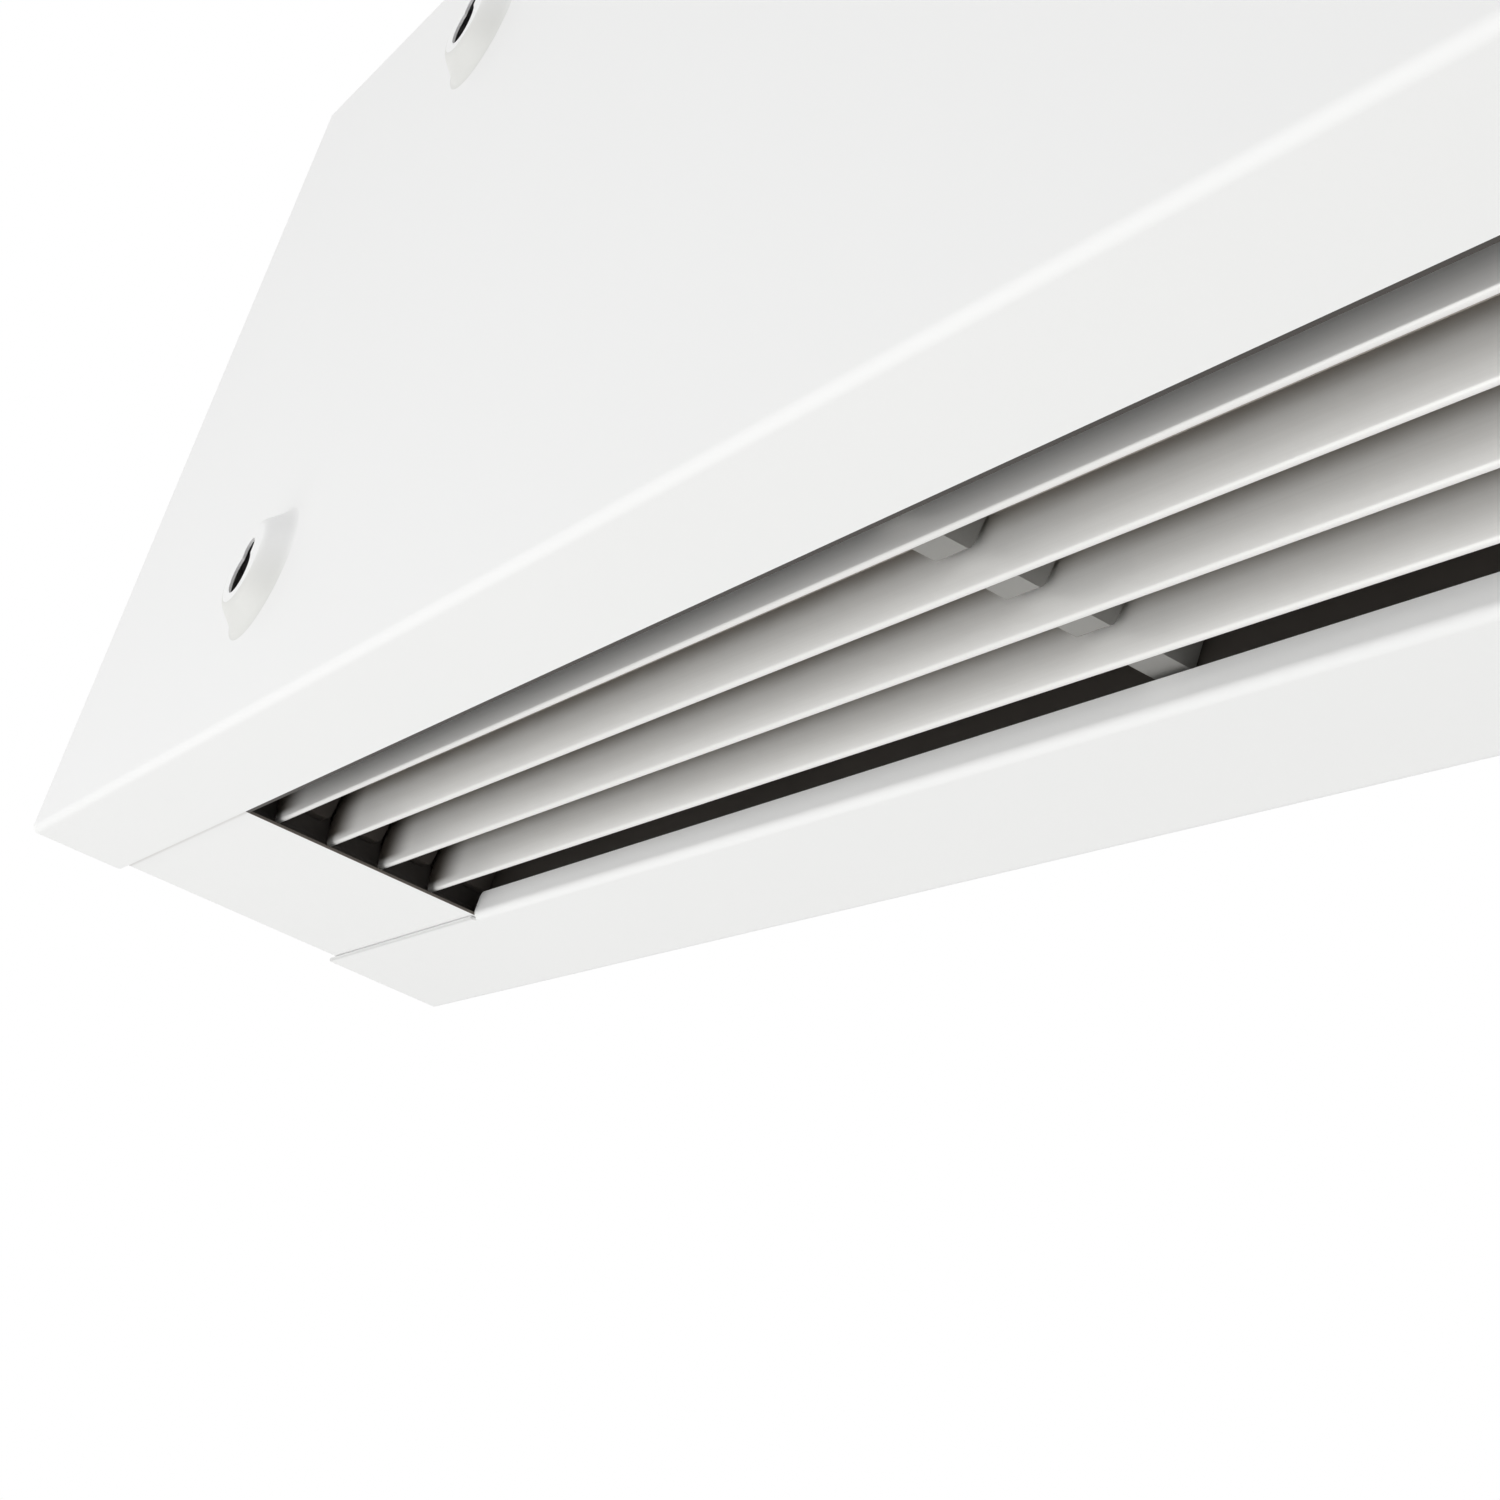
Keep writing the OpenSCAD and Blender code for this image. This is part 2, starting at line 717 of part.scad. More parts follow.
module heater(i) {
    fins = [for (x = [-plate_x + fin_pitch : fin_pitch : plate_x - fin_pitch])
        if (abs(abs(x) - bracket_x) > bracket_clear + fin_t) x];
    tail_x = plate_x + heat_tail;
    edge = [for (x = fins) each [[x, heat_rod_r], [x, fin_r], [x + fin_t, fin_r],
        [x + fin_t, heat_rod_r]]];
    color("darkgray") on_keyholes() turned_x(heat_pos(i), concat([
        [-tail_x - stud_l, 0], [-tail_x - stud_l, stud_r], [-tail_x, stud_r],
        [-tail_x, heat_rod_r]], edge, [[tail_x, heat_rod_r], [tail_x, stud_r],
        [tail_x + stud_l, stud_r], [tail_x + stud_l, 0]]));
}

module heater_1() {
    heater(0);
}

module heater_2() {
    heater(1);
}

module heater_3() {
    heater(2);
}

module heater_brackets() {
    low = heat_z - heat_rod_r - bracket_rim;
    high = heat_z + heat_rise + heat_rod_r + bracket_rim;
    color("lightslategray") on_keyholes() for (side = [-1, 1]) {
        difference() {
            union() {
                block([side * bracket_x - inner_t / 2, -duct_front + fit, low],
                    [side * bracket_x + inner_t / 2, -duct_rear - fit, high]);
                for (y = [-duct_front + fit, -duct_rear - fit - inner_t]) {
                    block([side * bracket_x - inner_t / 2, y, low],
                        [side * bracket_x + bracket_flange, y + inner_t, high]);
                }
            }
            for (i = [0 : 2]) {
                bar_x(side * bracket_x - cut, side * bracket_x + cut, heat_pos(i),
                    heat_rod_r + fit);
            }
        }
    }
}

// Overheat thermostat, with its sensing cap through the side plate
thermo_back = 50;
thermo_drop = 60;
thermo_pos = [-rotor_y + thermo_back, rotor_z - thermo_drop];
thermo_r = 6;
thermo_in = 6;
thermo_rim = 3;
thermo_l = 12;
button_l = 3;
tab_l = 10;
tab_w = 6;
tab_t = 0.8;

module thermostat() {
    x = -plate_x - fit - inner_t;
    back = x - thermo_l;
    color("whitesmoke") on_keyholes() union() {
        turned_x(thermo_pos, [[x + thermo_in, 0], [x + thermo_in, thermo_r - chamfer],
            [x + thermo_in - chamfer, thermo_r], [x - fit, thermo_r],
            [x - fit, thermo_r + thermo_rim], [back, thermo_r + thermo_rim],
            [back, thermo_r / 2], [back - button_l, thermo_r / 2], [back - button_l, 0]]);
        for (side = [-1, 1]) {
            y = thermo_pos[0] + side * (thermo_r - chamfer);
            block([back - tab_l, y - tab_t / 2, thermo_pos[1] - tab_w / 2],
                [back + fit, y + tab_t / 2, thermo_pos[1] + tab_w / 2]);
        }
    }
}

// Terminal block on a bracket below the cable gland
term_n = 5;
term_pitch = 12;
term_top = 70;
term_d = 22;
term_h = 18;
term_rim = 8;
term_screw_r = 2.6;
term_wire_r = 2.2;
term_slit = 1.2;
bracket_h = 30;
term_x = -half_l + gland_x;
term_y = -gland_y;
term_z = case_h - term_top;

module terminal_bracket() {
    half = term_n * term_pitch / 2 + term_rim;
    front = term_y - term_d / 2 - 2 * term_wire_r;
    color("lightslategray") on_keyholes() difference() {
        union() {
            block([term_x - half, front, term_z - cradle_t], [term_x + half, inside_back, term_z]);
            block([term_x - half, inside_back - cradle_t, term_z - bracket_h],
                [term_x + half, inside_back, term_z]);
        }
        for (side = [-1, 1]) {
            translate([term_x + side * (half - term_rim / 2), term_y, term_z])
                cylinder(h = 4 * cradle_t, r = screw_r, center = true);
        }
    }
}

module terminal_block() {
    half = term_n * term_pitch / 2;
    low = [term_x - half, term_y - term_d / 2, term_z + fit];
    high = [term_x + half, term_y + term_d / 2, term_z + term_h];
    color("lightgray") on_keyholes() difference() {
        block(low, high);
        for (i = [0 : term_n - 1]) {
            x = low[0] + (i + 0.5) * term_pitch;
            for (side = [-1, 1]) {
                translate([x, term_y + side * term_d / 4, term_z + term_h / 2])
                    cylinder(h = term_h, r = term_screw_r);
                translate([x, term_y + side * term_d / 2, term_z + term_h / 3])
                    rotate([90, 0, 0]) cylinder(h = term_d / 2, r = term_wire_r, center = true);
            }
            translate([x + term_pitch / 2, term_y, term_z + term_h])
                cube([term_slit, term_d + cut, 2 * term_h / 3], center = true);
        }
    }
}

// Gland in the top panel, where the supply cable enters
gland_r = 10;
gland_up = 9;
gland_down = 14;
gland_hex_r = 14;
gland_hex_h = 5;
gland_taper = 3;

module at_gland(z) {
    translate([-half_l + gland_x, -gland_y, z]) children();
}

module cable_gland() {
    z0 = case_h + fit;
    color("dimgray") on_keyholes() difference() {
        union() {
            at_gland(z0 - gland_down) cylinder(h = gland_down + gland_up, r = gland_r);
            at_gland(z0) cylinder(h = gland_hex_h, r = gland_hex_r, $fn = 6);
            at_gland(z0 + gland_up) cylinder(h = gland_hex_h, r1 = gland_r,
                r2 = gland_r - gland_taper);
        }
        at_gland(z0 - gland_down - cut)
            cylinder(h = gland_down + gland_up + gland_hex_h + 2 * cut, r = gland_bore_r);
    }
}

module gland_nut() {
    z0 = inside_top - gland_hex_h;
    color("dimgray") on_keyholes() difference() {
        at_gland(z0) cylinder(h = gland_hex_h, r = gland_hex_r, $fn = 6);
        at_gland(z0 - cut) cylinder(h = gland_hex_h + 2 * cut, r = gland_r + run_fit);
    }
}

// Control board on the right side plate: relays in a row, a transformer, a plug and two round
// capacitors. A part of the board is [across, up, width, height, thickness] from its middle.
board_y = -50;
board_top = 70;
board_z = case_h - board_top;
board_w = 74;
board_h = 104;
board_t = 1.6;
board_edge = 6;
standoff_l = 10;
standoff_r = 3.5;
standoff_pin_r = 1.5;
relay_pitch = 18;
relay = [16, 20, 16];
relay_up = 30;
transformer = [-17, -26, 22, 30, 22];
plug = [20, -30, 20, 14, 12];
round_part_r = 4.5;
round_part_h = 18;
round_part_up = -28;
round_part_pitch = 12;

module board_places() {
    for (sy = [-1, 1]) {
        for (sz = [-1, 1]) {
            translate([0, board_y + sy * (board_w / 2 - board_edge),
                board_z + sz * (board_h / 2 - board_edge)]) rotate([0, 90, 0]) children();
        }
    }
}

module board_part(x0, p) {
    block([x0, board_y + p[0] - p[2] / 2, board_z + p[1] - p[3] / 2],
        [x0 + board_t / 2 + p[4], board_y + p[0] + p[2] / 2, board_z + p[1] + p[3] / 2]);
}

module control_board() {
    x0 = plate_x + 2 * fit + inner_t + standoff_l + fit;
    mid_x = x0 + board_t / 2;
    color("darkgreen") on_keyholes() union() {
        difference() {
            block([x0, board_y - board_w / 2, board_z - board_h / 2],
                [x0 + board_t, board_y + board_w / 2, board_z + board_h / 2]);
            translate([x0 - cut, 0, 0]) board_places()
                cylinder(h = board_t + 2 * cut, r = standoff_pin_r + fit);
        }
        for (i = [-1 : 1]) {
            board_part(mid_x, concat([i * relay_pitch, relay_up], relay));
        }
        board_part(mid_x, transformer);
        board_part(mid_x, plug);
        for (side = [-1, 1]) {
            bar_x(mid_x, x0 + board_t + round_part_h, [board_y + side * round_part_pitch / 2,
                board_z + round_part_up], round_part_r);
        }
    }
}

module board_standoffs() {
    color("white") on_keyholes() translate([plate_x + 2 * fit + inner_t, 0, 0]) board_places() {
        cylinder(h = standoff_l, r = standoff_r);
        cylinder(h = standoff_l + fit + 2 * board_t, r = standoff_pin_r);
    }
}

// Run capacitor and its clip below the motor
cap_drop = 135;
cap_pos = [-rotor_y, rotor_z - cap_drop];
cap_r = 17;
cap_gap = 40;
cap_x = -plate_x - cap_gap;
cap_l = 62;
cap_bevel = 2;
cap_stud_r = 5;
cap_stud_l = 8;
clip_w = 22;
clip_t = 1.5;
clip_leg = 6;
clip_foot = 32;

module run_capacitor() {
    end = cap_x - cap_l;
    color("silver") on_keyholes() turned_x(cap_pos, [[cap_x, 0], [cap_x, cap_r - cap_bevel],
        [cap_x - cap_bevel, cap_r], [end, cap_r], [end, cap_stud_r],
        [end - cap_stud_l, cap_stud_r], [end - cap_stud_l, 0]]);
}

module capacitor_clip() {
    foot_z = inside_z + sheet_t + fit;
    x0 = cap_x - (cap_l + clip_w) / 2;
    x1 = x0 + clip_w;
    y = cap_pos[0];
    z = cap_pos[1];
    color("lightslategray") on_keyholes() difference() {
        union() {
            bar_x(x0, x1, cap_pos, cap_r + fit + clip_t);
            block([x0, y - clip_leg / 2, foot_z], [x1, y + clip_leg / 2, z]);
            block([x0, y - clip_foot / 2, foot_z], [x1, y + clip_foot / 2, foot_z + clip_t]);
        }
        bar_x(x0 - cut, x1 + cut, cap_pos, cap_r + fit);
        block([x0 - cut, y - clip_leg, z + cap_r / 2],
            [x1 + cut, y + clip_leg, z + 2 * cap_r]);
    }
}

// Outlet slat: a drop-shaped blade with its thin edge down, and a round bead that it turns on
module half_blade(length, edge_r) {
    d = slat_t / 2 - edge_r;
    arc_r = (length * length + d * d) / (2 * d);
    intersection() {
        translate([arc_r - slat_t / 2, 0]) circle(r = arc_r, $fn = 720);
        translate([slat_t / 2 - arc_r, 0]) circle(r = arc_r, $fn = 720);
        translate([-slat_t / 2, 0]) square([slat_t, length]);
    }
    translate([0, length]) circle(r = edge_r);
}

module slat_profile() {
    translate([0, belly_up - bead_up]) {
        mirror([0, 1]) half_blade(belly_up - nose_r, nose_r);
        half_blade(slat_chord - belly_up - head_r, head_r);
    }
    circle(r = bead_r);
}

module slat(i) {
    color("silver") on_keyholes() translate([0, -slat_first - i * slat_pitch, bead_z])
        along_x(-plate_x + slat_end_gap, plate_x - slat_end_gap) slat_profile();
}

module slat_1() {
    slat(0);
}

module slat_2() {
    slat(1);
}

module slat_3() {
    slat(2);
}

module slat_4() {
    slat(3);
}

// Comb with a socket for each slat's bead and room for the blade to swing
slot_half = slat_t / 2 + 1.5 * fit;
slot_flare = swing + 1;
slot_over = 1.5;

module socket_cut(down, up) {
    near = slot_half;
    low = near + down * tan(slot_flare);
    high = near + up * tan(slot_flare);
    circle(r = bead_r + run_fit);
    polygon([[-low, -down], [low, -down], [near, 0], [high, up], [-high, up], [-near, 0]]);
}

module comb(x0, x1) {
    down = bead_z - comb_z;
    up = slat_chord - bead_up + slot_over;
    top_z = bead_z + up + comb_back;
    color("gray") on_keyholes() along_x(x0, x1) difference() {
        polygon([[-duct_front + fit, comb_z], [-duct_rear - fit, comb_z],
            [-duct_rear - fit, top_z], [-duct_front + fit, top_z]]);
        for (i = [0 : slat_n - 1]) {
            translate([-slat_first - i * slat_pitch, bead_z]) {
                socket_cut(down + cut, up);
                for (side = [0, 1]) {
                    finger_round(side, down);
                }
            }
        }
    }
}

// Rounds a finger's lower corner beside the slat's slot
module finger_round(side, down) {
    edge = slot_half + down * tan(slot_flare);
    mirror([side, 0]) translate([edge, -down]) corner_off(finger_r);
}

module comb_middle() {
    comb(-mid_comb_w / 2, mid_comb_w / 2);
}

module comb_left() {
    comb(-plate_x, -plate_x + end_comb_w);
}

module comb_right() {
    comb(plate_x - end_comb_w, plate_x);
}

// Intake grille, hinged along its lower edge to reach the filter
grille_gap = 1;
grille_x = window_x - grille_gap;
grille_top = window_z + window_h - grille_gap;
grille_back = -case_d + grille_t;
louvre_t = 1.5;
louvre_inset = 0.5;
upright_t = 2;
pin_bore_l = 14;
pin_end_gap = 2;

module intake_grille() {
    inner_low = hinge_pos[1] - knuckle_r + grille_rim;
    inner_high = grille_top - grille_rim;
    louvres = floor((inner_high - inner_low) / louvre_pitch);
    field = 2 * (grille_x - grille_rim) / grille_fields;
    color("whitesmoke") on_keyholes() difference() {
        union() {
            difference() {
                block([-grille_x, -case_d, hinge_pos[1]], [grille_x, grille_back, grille_top]);
                block([-grille_x + grille_rim, -case_d - cut, inner_low],
                    [grille_x - grille_rim, grille_back + cut, inner_high]);
            }
            bar_x(-grille_x, grille_x, hinge_pos, knuckle_r);
            block([-grille_x, hinge_pos[0], hinge_pos[1] - knuckle_r],
                [grille_x, grille_back, hinge_pos[1]]);
            intersection() {
                block([-grille_x + cut, -case_d + louvre_inset, inner_low - cut],
                    [grille_x - cut, grille_back - louvre_inset, inner_high + cut]);
                along_x(-grille_x + grille_rim / 2, grille_x - grille_rim / 2)
                    for (i = [0 : louvres - 1]) {
                        translate([-case_d + grille_t / 2,
                            inner_low + (i + 0.5) * (inner_high - inner_low) / louvres])
                            rotate(louvre_angle) square([2 * grille_t, louvre_t], center = true);
                    }
            }
            for (i = [1 : grille_fields - 1]) {
                x = -grille_x + grille_rim + i * field;
                block([x - upright_t / 2, -case_d + 4 * louvre_inset, inner_low - cut],
                    [x + upright_t / 2, grille_back - 2 * louvre_inset, inner_high + cut]);
            }
        }
        for (side = [-1, 1]) {
            bar_x(side > 0 ? grille_x - pin_bore_l : -grille_x - cut,
                side > 0 ? grille_x + cut : -grille_x + pin_bore_l, hinge_pos,
                pin_r + run_fit);
        }
    }
}

module grille_pins() {
    inner = grille_x - pin_bore_l + pin_end_gap;
    outer = window_x + ear_t + pin_end_gap;
    color("silver") on_keyholes() for (side = [-1, 1]) {
        bar_x(side > 0 ? inner : -outer, side > 0 ? outer : -inner, hinge_pos, pin_r);
    }
}

// Filter panel behind the grille: a frame, a mesh and stiffening ribs
filter_gap = 1;
filter_y = grille_back + filter_gap;
filter_end_gap = 4;
filter_x = window_x - filter_end_gap;
filter_drop = 14;
filter_h = window_h - filter_drop;
filter_back = grille_back + filter_t;
filter_rim = 8;
filter_ribs = 7;
rib_w = 3;
mesh_t = 1;

module intake_filter() {
    high_z = window_z + filter_h;
    mid_y = (filter_y + filter_back) / 2;
    color("dimgray") on_keyholes() union() {
        difference() {
            block([-filter_x, filter_y, window_z], [filter_x, filter_back, high_z]);
            block([-filter_x + filter_rim, filter_y - cut, window_z + filter_rim],
                [filter_x - filter_rim, filter_back + cut, high_z - filter_rim]);
        }
        block([-filter_x + filter_rim - cut, mid_y - mesh_t / 2, window_z + filter_rim - cut],
            [filter_x - filter_rim + cut, mid_y + mesh_t / 2, high_z - filter_rim + cut]);
        for (i = [1 : filter_ribs]) {
            x = -filter_x + i * 2 * filter_x / (filter_ribs + 1);
            block([x - rib_w / 2, filter_y + mesh_t, window_z + filter_rim - cut],
                [x + rib_w / 2, filter_back - mesh_t, high_z - filter_rim + cut]);
        }
    }
}

// Folded rails behind the window's edges. The filter stands between them and the grille.
rail_y = -case_d + sheet_t + fit;
rail_back = filter_back + fit;
rail_t = 1.2;
catch_h = 12;

module filter_rails() {
    low_z = window_z - fit;
    top_z = window_z + window_h + fit;
    color("lightslategray") on_keyholes() along_x(-filter_x, filter_x) {
        polygon([[rail_y, low_z - catch_h], [rail_y, low_z], [rail_back, low_z],
            [rail_back, low_z + catch_h], [rail_back + rail_t, low_z + catch_h],
            [rail_back + rail_t, low_z - rail_t], [rail_y + rail_t, low_z - rail_t],
            [rail_y + rail_t, low_z - catch_h]]);
        polygon([[rail_y, top_z + catch_h], [rail_y, top_z], [rail_back, top_z],
            [rail_back, top_z - 2 * catch_h], [rail_back + rail_t, top_z - 2 * catch_h],
            [rail_back + rail_t, top_z + rail_t], [rail_y + rail_t, top_z + rail_t],
            [rail_y + rail_t, top_z + catch_h]]);
    }
}

// Magnetic catches that hold the grille shut
catch_w = 30;
catch_x = 300;

module grille_magnets() {
    top_z = window_z + window_h;
    color("dimgray") on_keyholes() for (side = [-1, 1]) {
        block([side * catch_x - catch_w / 2, grille_back + fit, top_z - catch_h + 1],
            [side * catch_x + catch_w / 2, rail_back - fit, top_z]);
    }
}

// Pan-head screws that hold the front cover to the top panel
screw_l = 11;
screw_head_r = 4;
screw_head_h = 2.2;
screw_socket_r = 1.6;
screw_seat = 0.1;

module cover_screws() {
    color("silver") on_keyholes() at_cover_screws() translate([0, 0, cover_top_z + screw_seat]) {
        translate([0, 0, -screw_l]) cylinder(h = screw_l, r = screw_r);
        difference() {
            cylinder(h = screw_head_h, r = screw_head_r);
            translate([0, 0, screw_head_h / 2])
                cylinder(h = screw_head_h, r = screw_socket_r, $fn = 6);
        }
    }
}

back_panel();
front_cover();
end_plate_left();
end_plate_right();
side_plate_left();
side_plate_right();
fan_scroll();
fan_tongue();
rotor();
rotor_stub();
drive_hub();
motor_shaft();
bearing_bush();
bearing_rubber();
bearing_housing();
motor();
motor_rings();
motor_cradle();
heater_1();
heater_2();
heater_3();
heater_brackets();
thermostat();
terminal_block();
terminal_bracket();
cable_gland();
gland_nut();
control_board();
board_standoffs();
run_capacitor();
capacitor_clip();
slat_1();
slat_2();
slat_3();
slat_4();
comb_middle();
comb_left();
comb_right();
intake_grille();
grille_pins();
intake_filter();
filter_rails();
grille_magnets();
cover_screws();
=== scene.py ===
# %% [markdown]
# # A wall-hung air curtain, seen from below and behind
# The solid model already holds every sheet, slat and screw at its real size. Blender has
# three jobs here: to show the parts as they are, to give each one the finish of the real
# material, and to light and frame them as the photograph does. Two things are modelled
# anew because the solids are too plain for them: the outlet slats and the filter's net.
#
# They are never moved or reshaped in this script. The box that they fill is kept.

# %% Load the parts
from math import radians

import bpy
from mathutils import Matrix, Vector


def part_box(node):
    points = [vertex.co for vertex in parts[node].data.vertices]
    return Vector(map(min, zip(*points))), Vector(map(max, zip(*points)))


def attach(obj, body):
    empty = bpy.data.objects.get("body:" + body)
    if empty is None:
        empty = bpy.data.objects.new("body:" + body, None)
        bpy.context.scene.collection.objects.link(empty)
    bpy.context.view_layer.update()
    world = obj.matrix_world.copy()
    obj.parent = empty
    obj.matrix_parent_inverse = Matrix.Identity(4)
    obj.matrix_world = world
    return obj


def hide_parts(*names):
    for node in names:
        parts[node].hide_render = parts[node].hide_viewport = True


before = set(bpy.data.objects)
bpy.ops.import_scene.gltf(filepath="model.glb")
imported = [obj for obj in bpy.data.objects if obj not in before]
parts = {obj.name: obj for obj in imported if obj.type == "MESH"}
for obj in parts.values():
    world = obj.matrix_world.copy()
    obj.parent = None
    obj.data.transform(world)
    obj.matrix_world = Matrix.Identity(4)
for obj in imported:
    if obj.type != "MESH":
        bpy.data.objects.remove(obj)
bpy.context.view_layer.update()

bpy.context.scene.view_settings.view_transform = "Standard"

# %% [markdown]
# ## The camera
# The photographer stood low down near one end and looked up along the unit, so that its
# back and its underside both show. The place and the turn below were worked out from the
# edges of the casing. A camera looks along its own -Z, so the three directions go into the
# columns of its matrix as right, up and backwards.

# %% Place the camera
CAMERA_PLACE = Vector((-0.60159, 0.20423, -0.45660))
CAMERA_RIGHT = Vector((-0.45882, -0.83543, 0.30256))
CAMERA_UP = Vector((-0.16125, 0.41316, 0.89627))
SENSOR_MM = 36.0
LENS_MM = 72.0
NEAREST_SEEN = 0.01

camera_data = bpy.data.cameras.new("view_camera")
camera_data.sensor_width = SENSOR_MM
camera_data.lens = LENS_MM
camera_data.clip_start = NEAREST_SEEN
camera = bpy.data.objects.new("view_camera", camera_data)
bpy.context.scene.collection.objects.link(camera)
camera_back = CAMERA_RIGHT.cross(CAMERA_UP)
turn = Matrix((CAMERA_RIGHT, CAMERA_UP, camera_back)).transposed()
camera.matrix_world = Matrix.Translation(CAMERA_PLACE) @ turn.to_4x4()
bpy.context.scene.camera = camera
print(f"camera at {[round(v, 3) for v in CAMERA_PLACE]}, {LENS_MM:.0f} mm lens")

# %% [markdown]
# ## Helpers for nodes
# The world and all the finishes are built from nodes. Four small functions keep the cells
# below short. The first adds a node with its settings. The second gives a socket what it
# needs, which is either a number or a link from another node. The last two stand for the
# steps that come back most often: a bit of arithmetic, and a soft step from 0 to 1.

# %% Helpers for nodes
def add_node(tree, kind, settings=None, values=None):
    """A node with its settings, and with values on its input sockets."""
    made = tree.nodes.new(kind)
    for name, value in (settings or {}).items():
        setattr(made, name, value)
    for name, value in (values or {}).items():
        made.inputs[name].default_value = value
    return made


def feed(tree, socket, source):
    """Sets a socket to a number, or links another socket into it."""
    if isinstance(source, float):
        socket.default_value = source
    else:
        tree.links.new(source, socket)


def calc(tree, operation, *sources):
    """One Math node on numbers or sockets. Gives back its result."""
    node = add_node(tree, "ShaderNodeMath", {"operation": operation})
    for socket, source in zip(node.inputs, sources):
        feed(tree, socket, source)
    return node.outputs[0]


def soft_step(tree, value, none_at, full_at):
    """0 at one value, 1 at another and a smooth change between. Either may be the larger."""
    node = add_node(tree, "ShaderNodeMapRange", {"interpolation_type": "SMOOTHSTEP"})
    for name, source in (("Value", value), ("From Min", none_at), ("From Max", full_at)):
        feed(tree, node.inputs[name], source)
    return node.outputs["Result"]


print("4 helpers ready")

# %% [markdown]
# ## Light
# The photograph was taken in a white studio: light comes from every side and there are
# hardly any shadows. A world of one pale colour gives that. What the camera sees of the
# world, straight on, in a reflection or through something clear, is plain white, and Light
# Path tells the world which rays those are. The light that falls on the object is a little
# darker than that, because otherwise white paint would lose its shape.

# %% Build the world
STUDIO_WHITE = (1.0, 1.0, 1.0, 1.0)
SEEN_LIGHT = 1.0
WORLD_LIGHT = 0.73

world = bpy.data.worlds.new("studio")
bpy.context.scene.world = world
world.use_nodes = True
sky = world.node_tree
sky.nodes.clear()
path = add_node(sky, "ShaderNodeLightPath")
looked_at = path.outputs["Is Camera Ray"]
for ray in ("Is Glossy Ray", "Is Transmission Ray"):
    looked_at = calc(sky, "MAXIMUM", looked_at, path.outputs[ray])
choose = add_node(sky, "ShaderNodeMixShader")
sky.links.new(looked_at, choose.inputs["Fac"])
for index, strength in ((1, WORLD_LIGHT), (2, SEEN_LIGHT)):
    glow = add_node(sky, "ShaderNodeBackground", values={"Color": STUDIO_WHITE, "Strength": strength})
    sky.links.new(glow.outputs[0], choose.inputs[index])
sky.links.new(choose.outputs[0], add_node(sky, "ShaderNodeOutputWorld").inputs["Surface"])
print(f"world light {WORLD_LIGHT}")

# %% [markdown]
# Four wide lamps add to it. Two hang low on the side of the photographer, one behind the
# unit and one under it. They light the back and the underside alike, so that the bend
# between them shines a little brighter, and they reach in between the slats. The other two
# are for the sides that the photograph doesn't show: one hangs high in front and one fills
# in the left end. A large lamp makes a soft edge to its shadow, so size matters here as much
# as place.

# %% Hang the lamps
LAMPS = (
    ("lamp_low_behind", (0.7, 1.7, -1.15), 1.6, 11.5),
    ("lamp_below", (0.35, 0.6, -1.6), 2.0, 6.5),
    ("lamp_high_front", (1.2, -2.2, 1.6), 2.5, 26),
    ("lamp_left_end", (-2.2, -0.6, 0.3), 1.5, 8),
)

for name, place, width, watts in LAMPS:
    lamp_data = bpy.data.lights.new(name, "AREA")
    lamp_data.shape = "SQUARE"
    lamp_data.size = width
    lamp_data.energy = watts
    lamp = bpy.data.objects.new(name, lamp_data)
    bpy.context.scene.collection.objects.link(lamp)
    lamp.location = place
    lamp.rotation_mode = "QUATERNION"
    lamp.rotation_quaternion = (-Vector(place)).to_track_quat("-Z", "Y")
    lamp.visible_camera = False
print(f"{len(LAMPS)} lamps, {sum(lamp[3] for lamp in LAMPS)} W")

# %% [markdown]
# ## The floor
# The unit hangs at head height, so the floor lies well below it, and also below the
# camera. It is a stage piece: it catches a soft shadow in the other views, but it isn't
# part of the object.

# %% Lay the floor
FLOOR_DROP = 1.9
FLOOR_SIDE = 60.0
FLOOR_COLOUR = (0.88, 0.88, 0.87, 1.0)
FLOOR_ROUGHNESS = 0.9

bpy.ops.object.select_all(action="DESELECT")
bpy.ops.mesh.primitive_plane_add(size=FLOOR_SIDE, location=(0, 0, -FLOOR_DROP))
floor = bpy.context.object
floor.name = "studio_floor"
floor_paint = bpy.data.materials.new("studio_floor")
floor_paint.use_nodes = True
floor_shader = floor_paint.node_tree.nodes["Principled BSDF"]
floor_shader.inputs["Base Color"].default_value = FLOOR_COLOUR
floor_shader.inputs["Roughness"].default_value = FLOOR_ROUGHNESS
floor.data.materials.append(floor_paint)
print(f"floor {FLOOR_DROP} m below the middle of the back")

# %% [markdown]
# ## How the finishes are built
# Every finish is a Principled shader whose colour, roughness and bump change over the
# surface. The patterns are made from Object coordinates, which are metres on the real part,
# so a scale of 1000 means about one ripple a millimetre. A pattern that several finishes
# share is a node group with named sockets: it is built once and each material gives it its
# own values. A group hands out only masks and heights. The shader stays in the material.

# %% Helpers for node groups
def start_group(name, inputs, outputs):
    """An empty group with float inputs (name: default) and float outputs."""
    group = bpy.data.node_groups.new(name, "ShaderNodeTree")
    for socket, default in inputs.items():
        made = group.interface.new_socket(socket, in_out="INPUT", socket_type="NodeSocketFloat")
        made.default_value = default
    for socket in outputs:
        group.interface.new_socket(socket, in_out="OUTPUT", socket_type="NodeSocketFloat")
    start = group.nodes.new("NodeGroupInput")
    end = group.nodes.new("NodeGroupOutput")
    return group, start.outputs, end.inputs


def object_point(tree):
    """The socket that gives the place on the part, in metres."""
    return tree.nodes.new("ShaderNodeTexCoord").outputs["Object"]


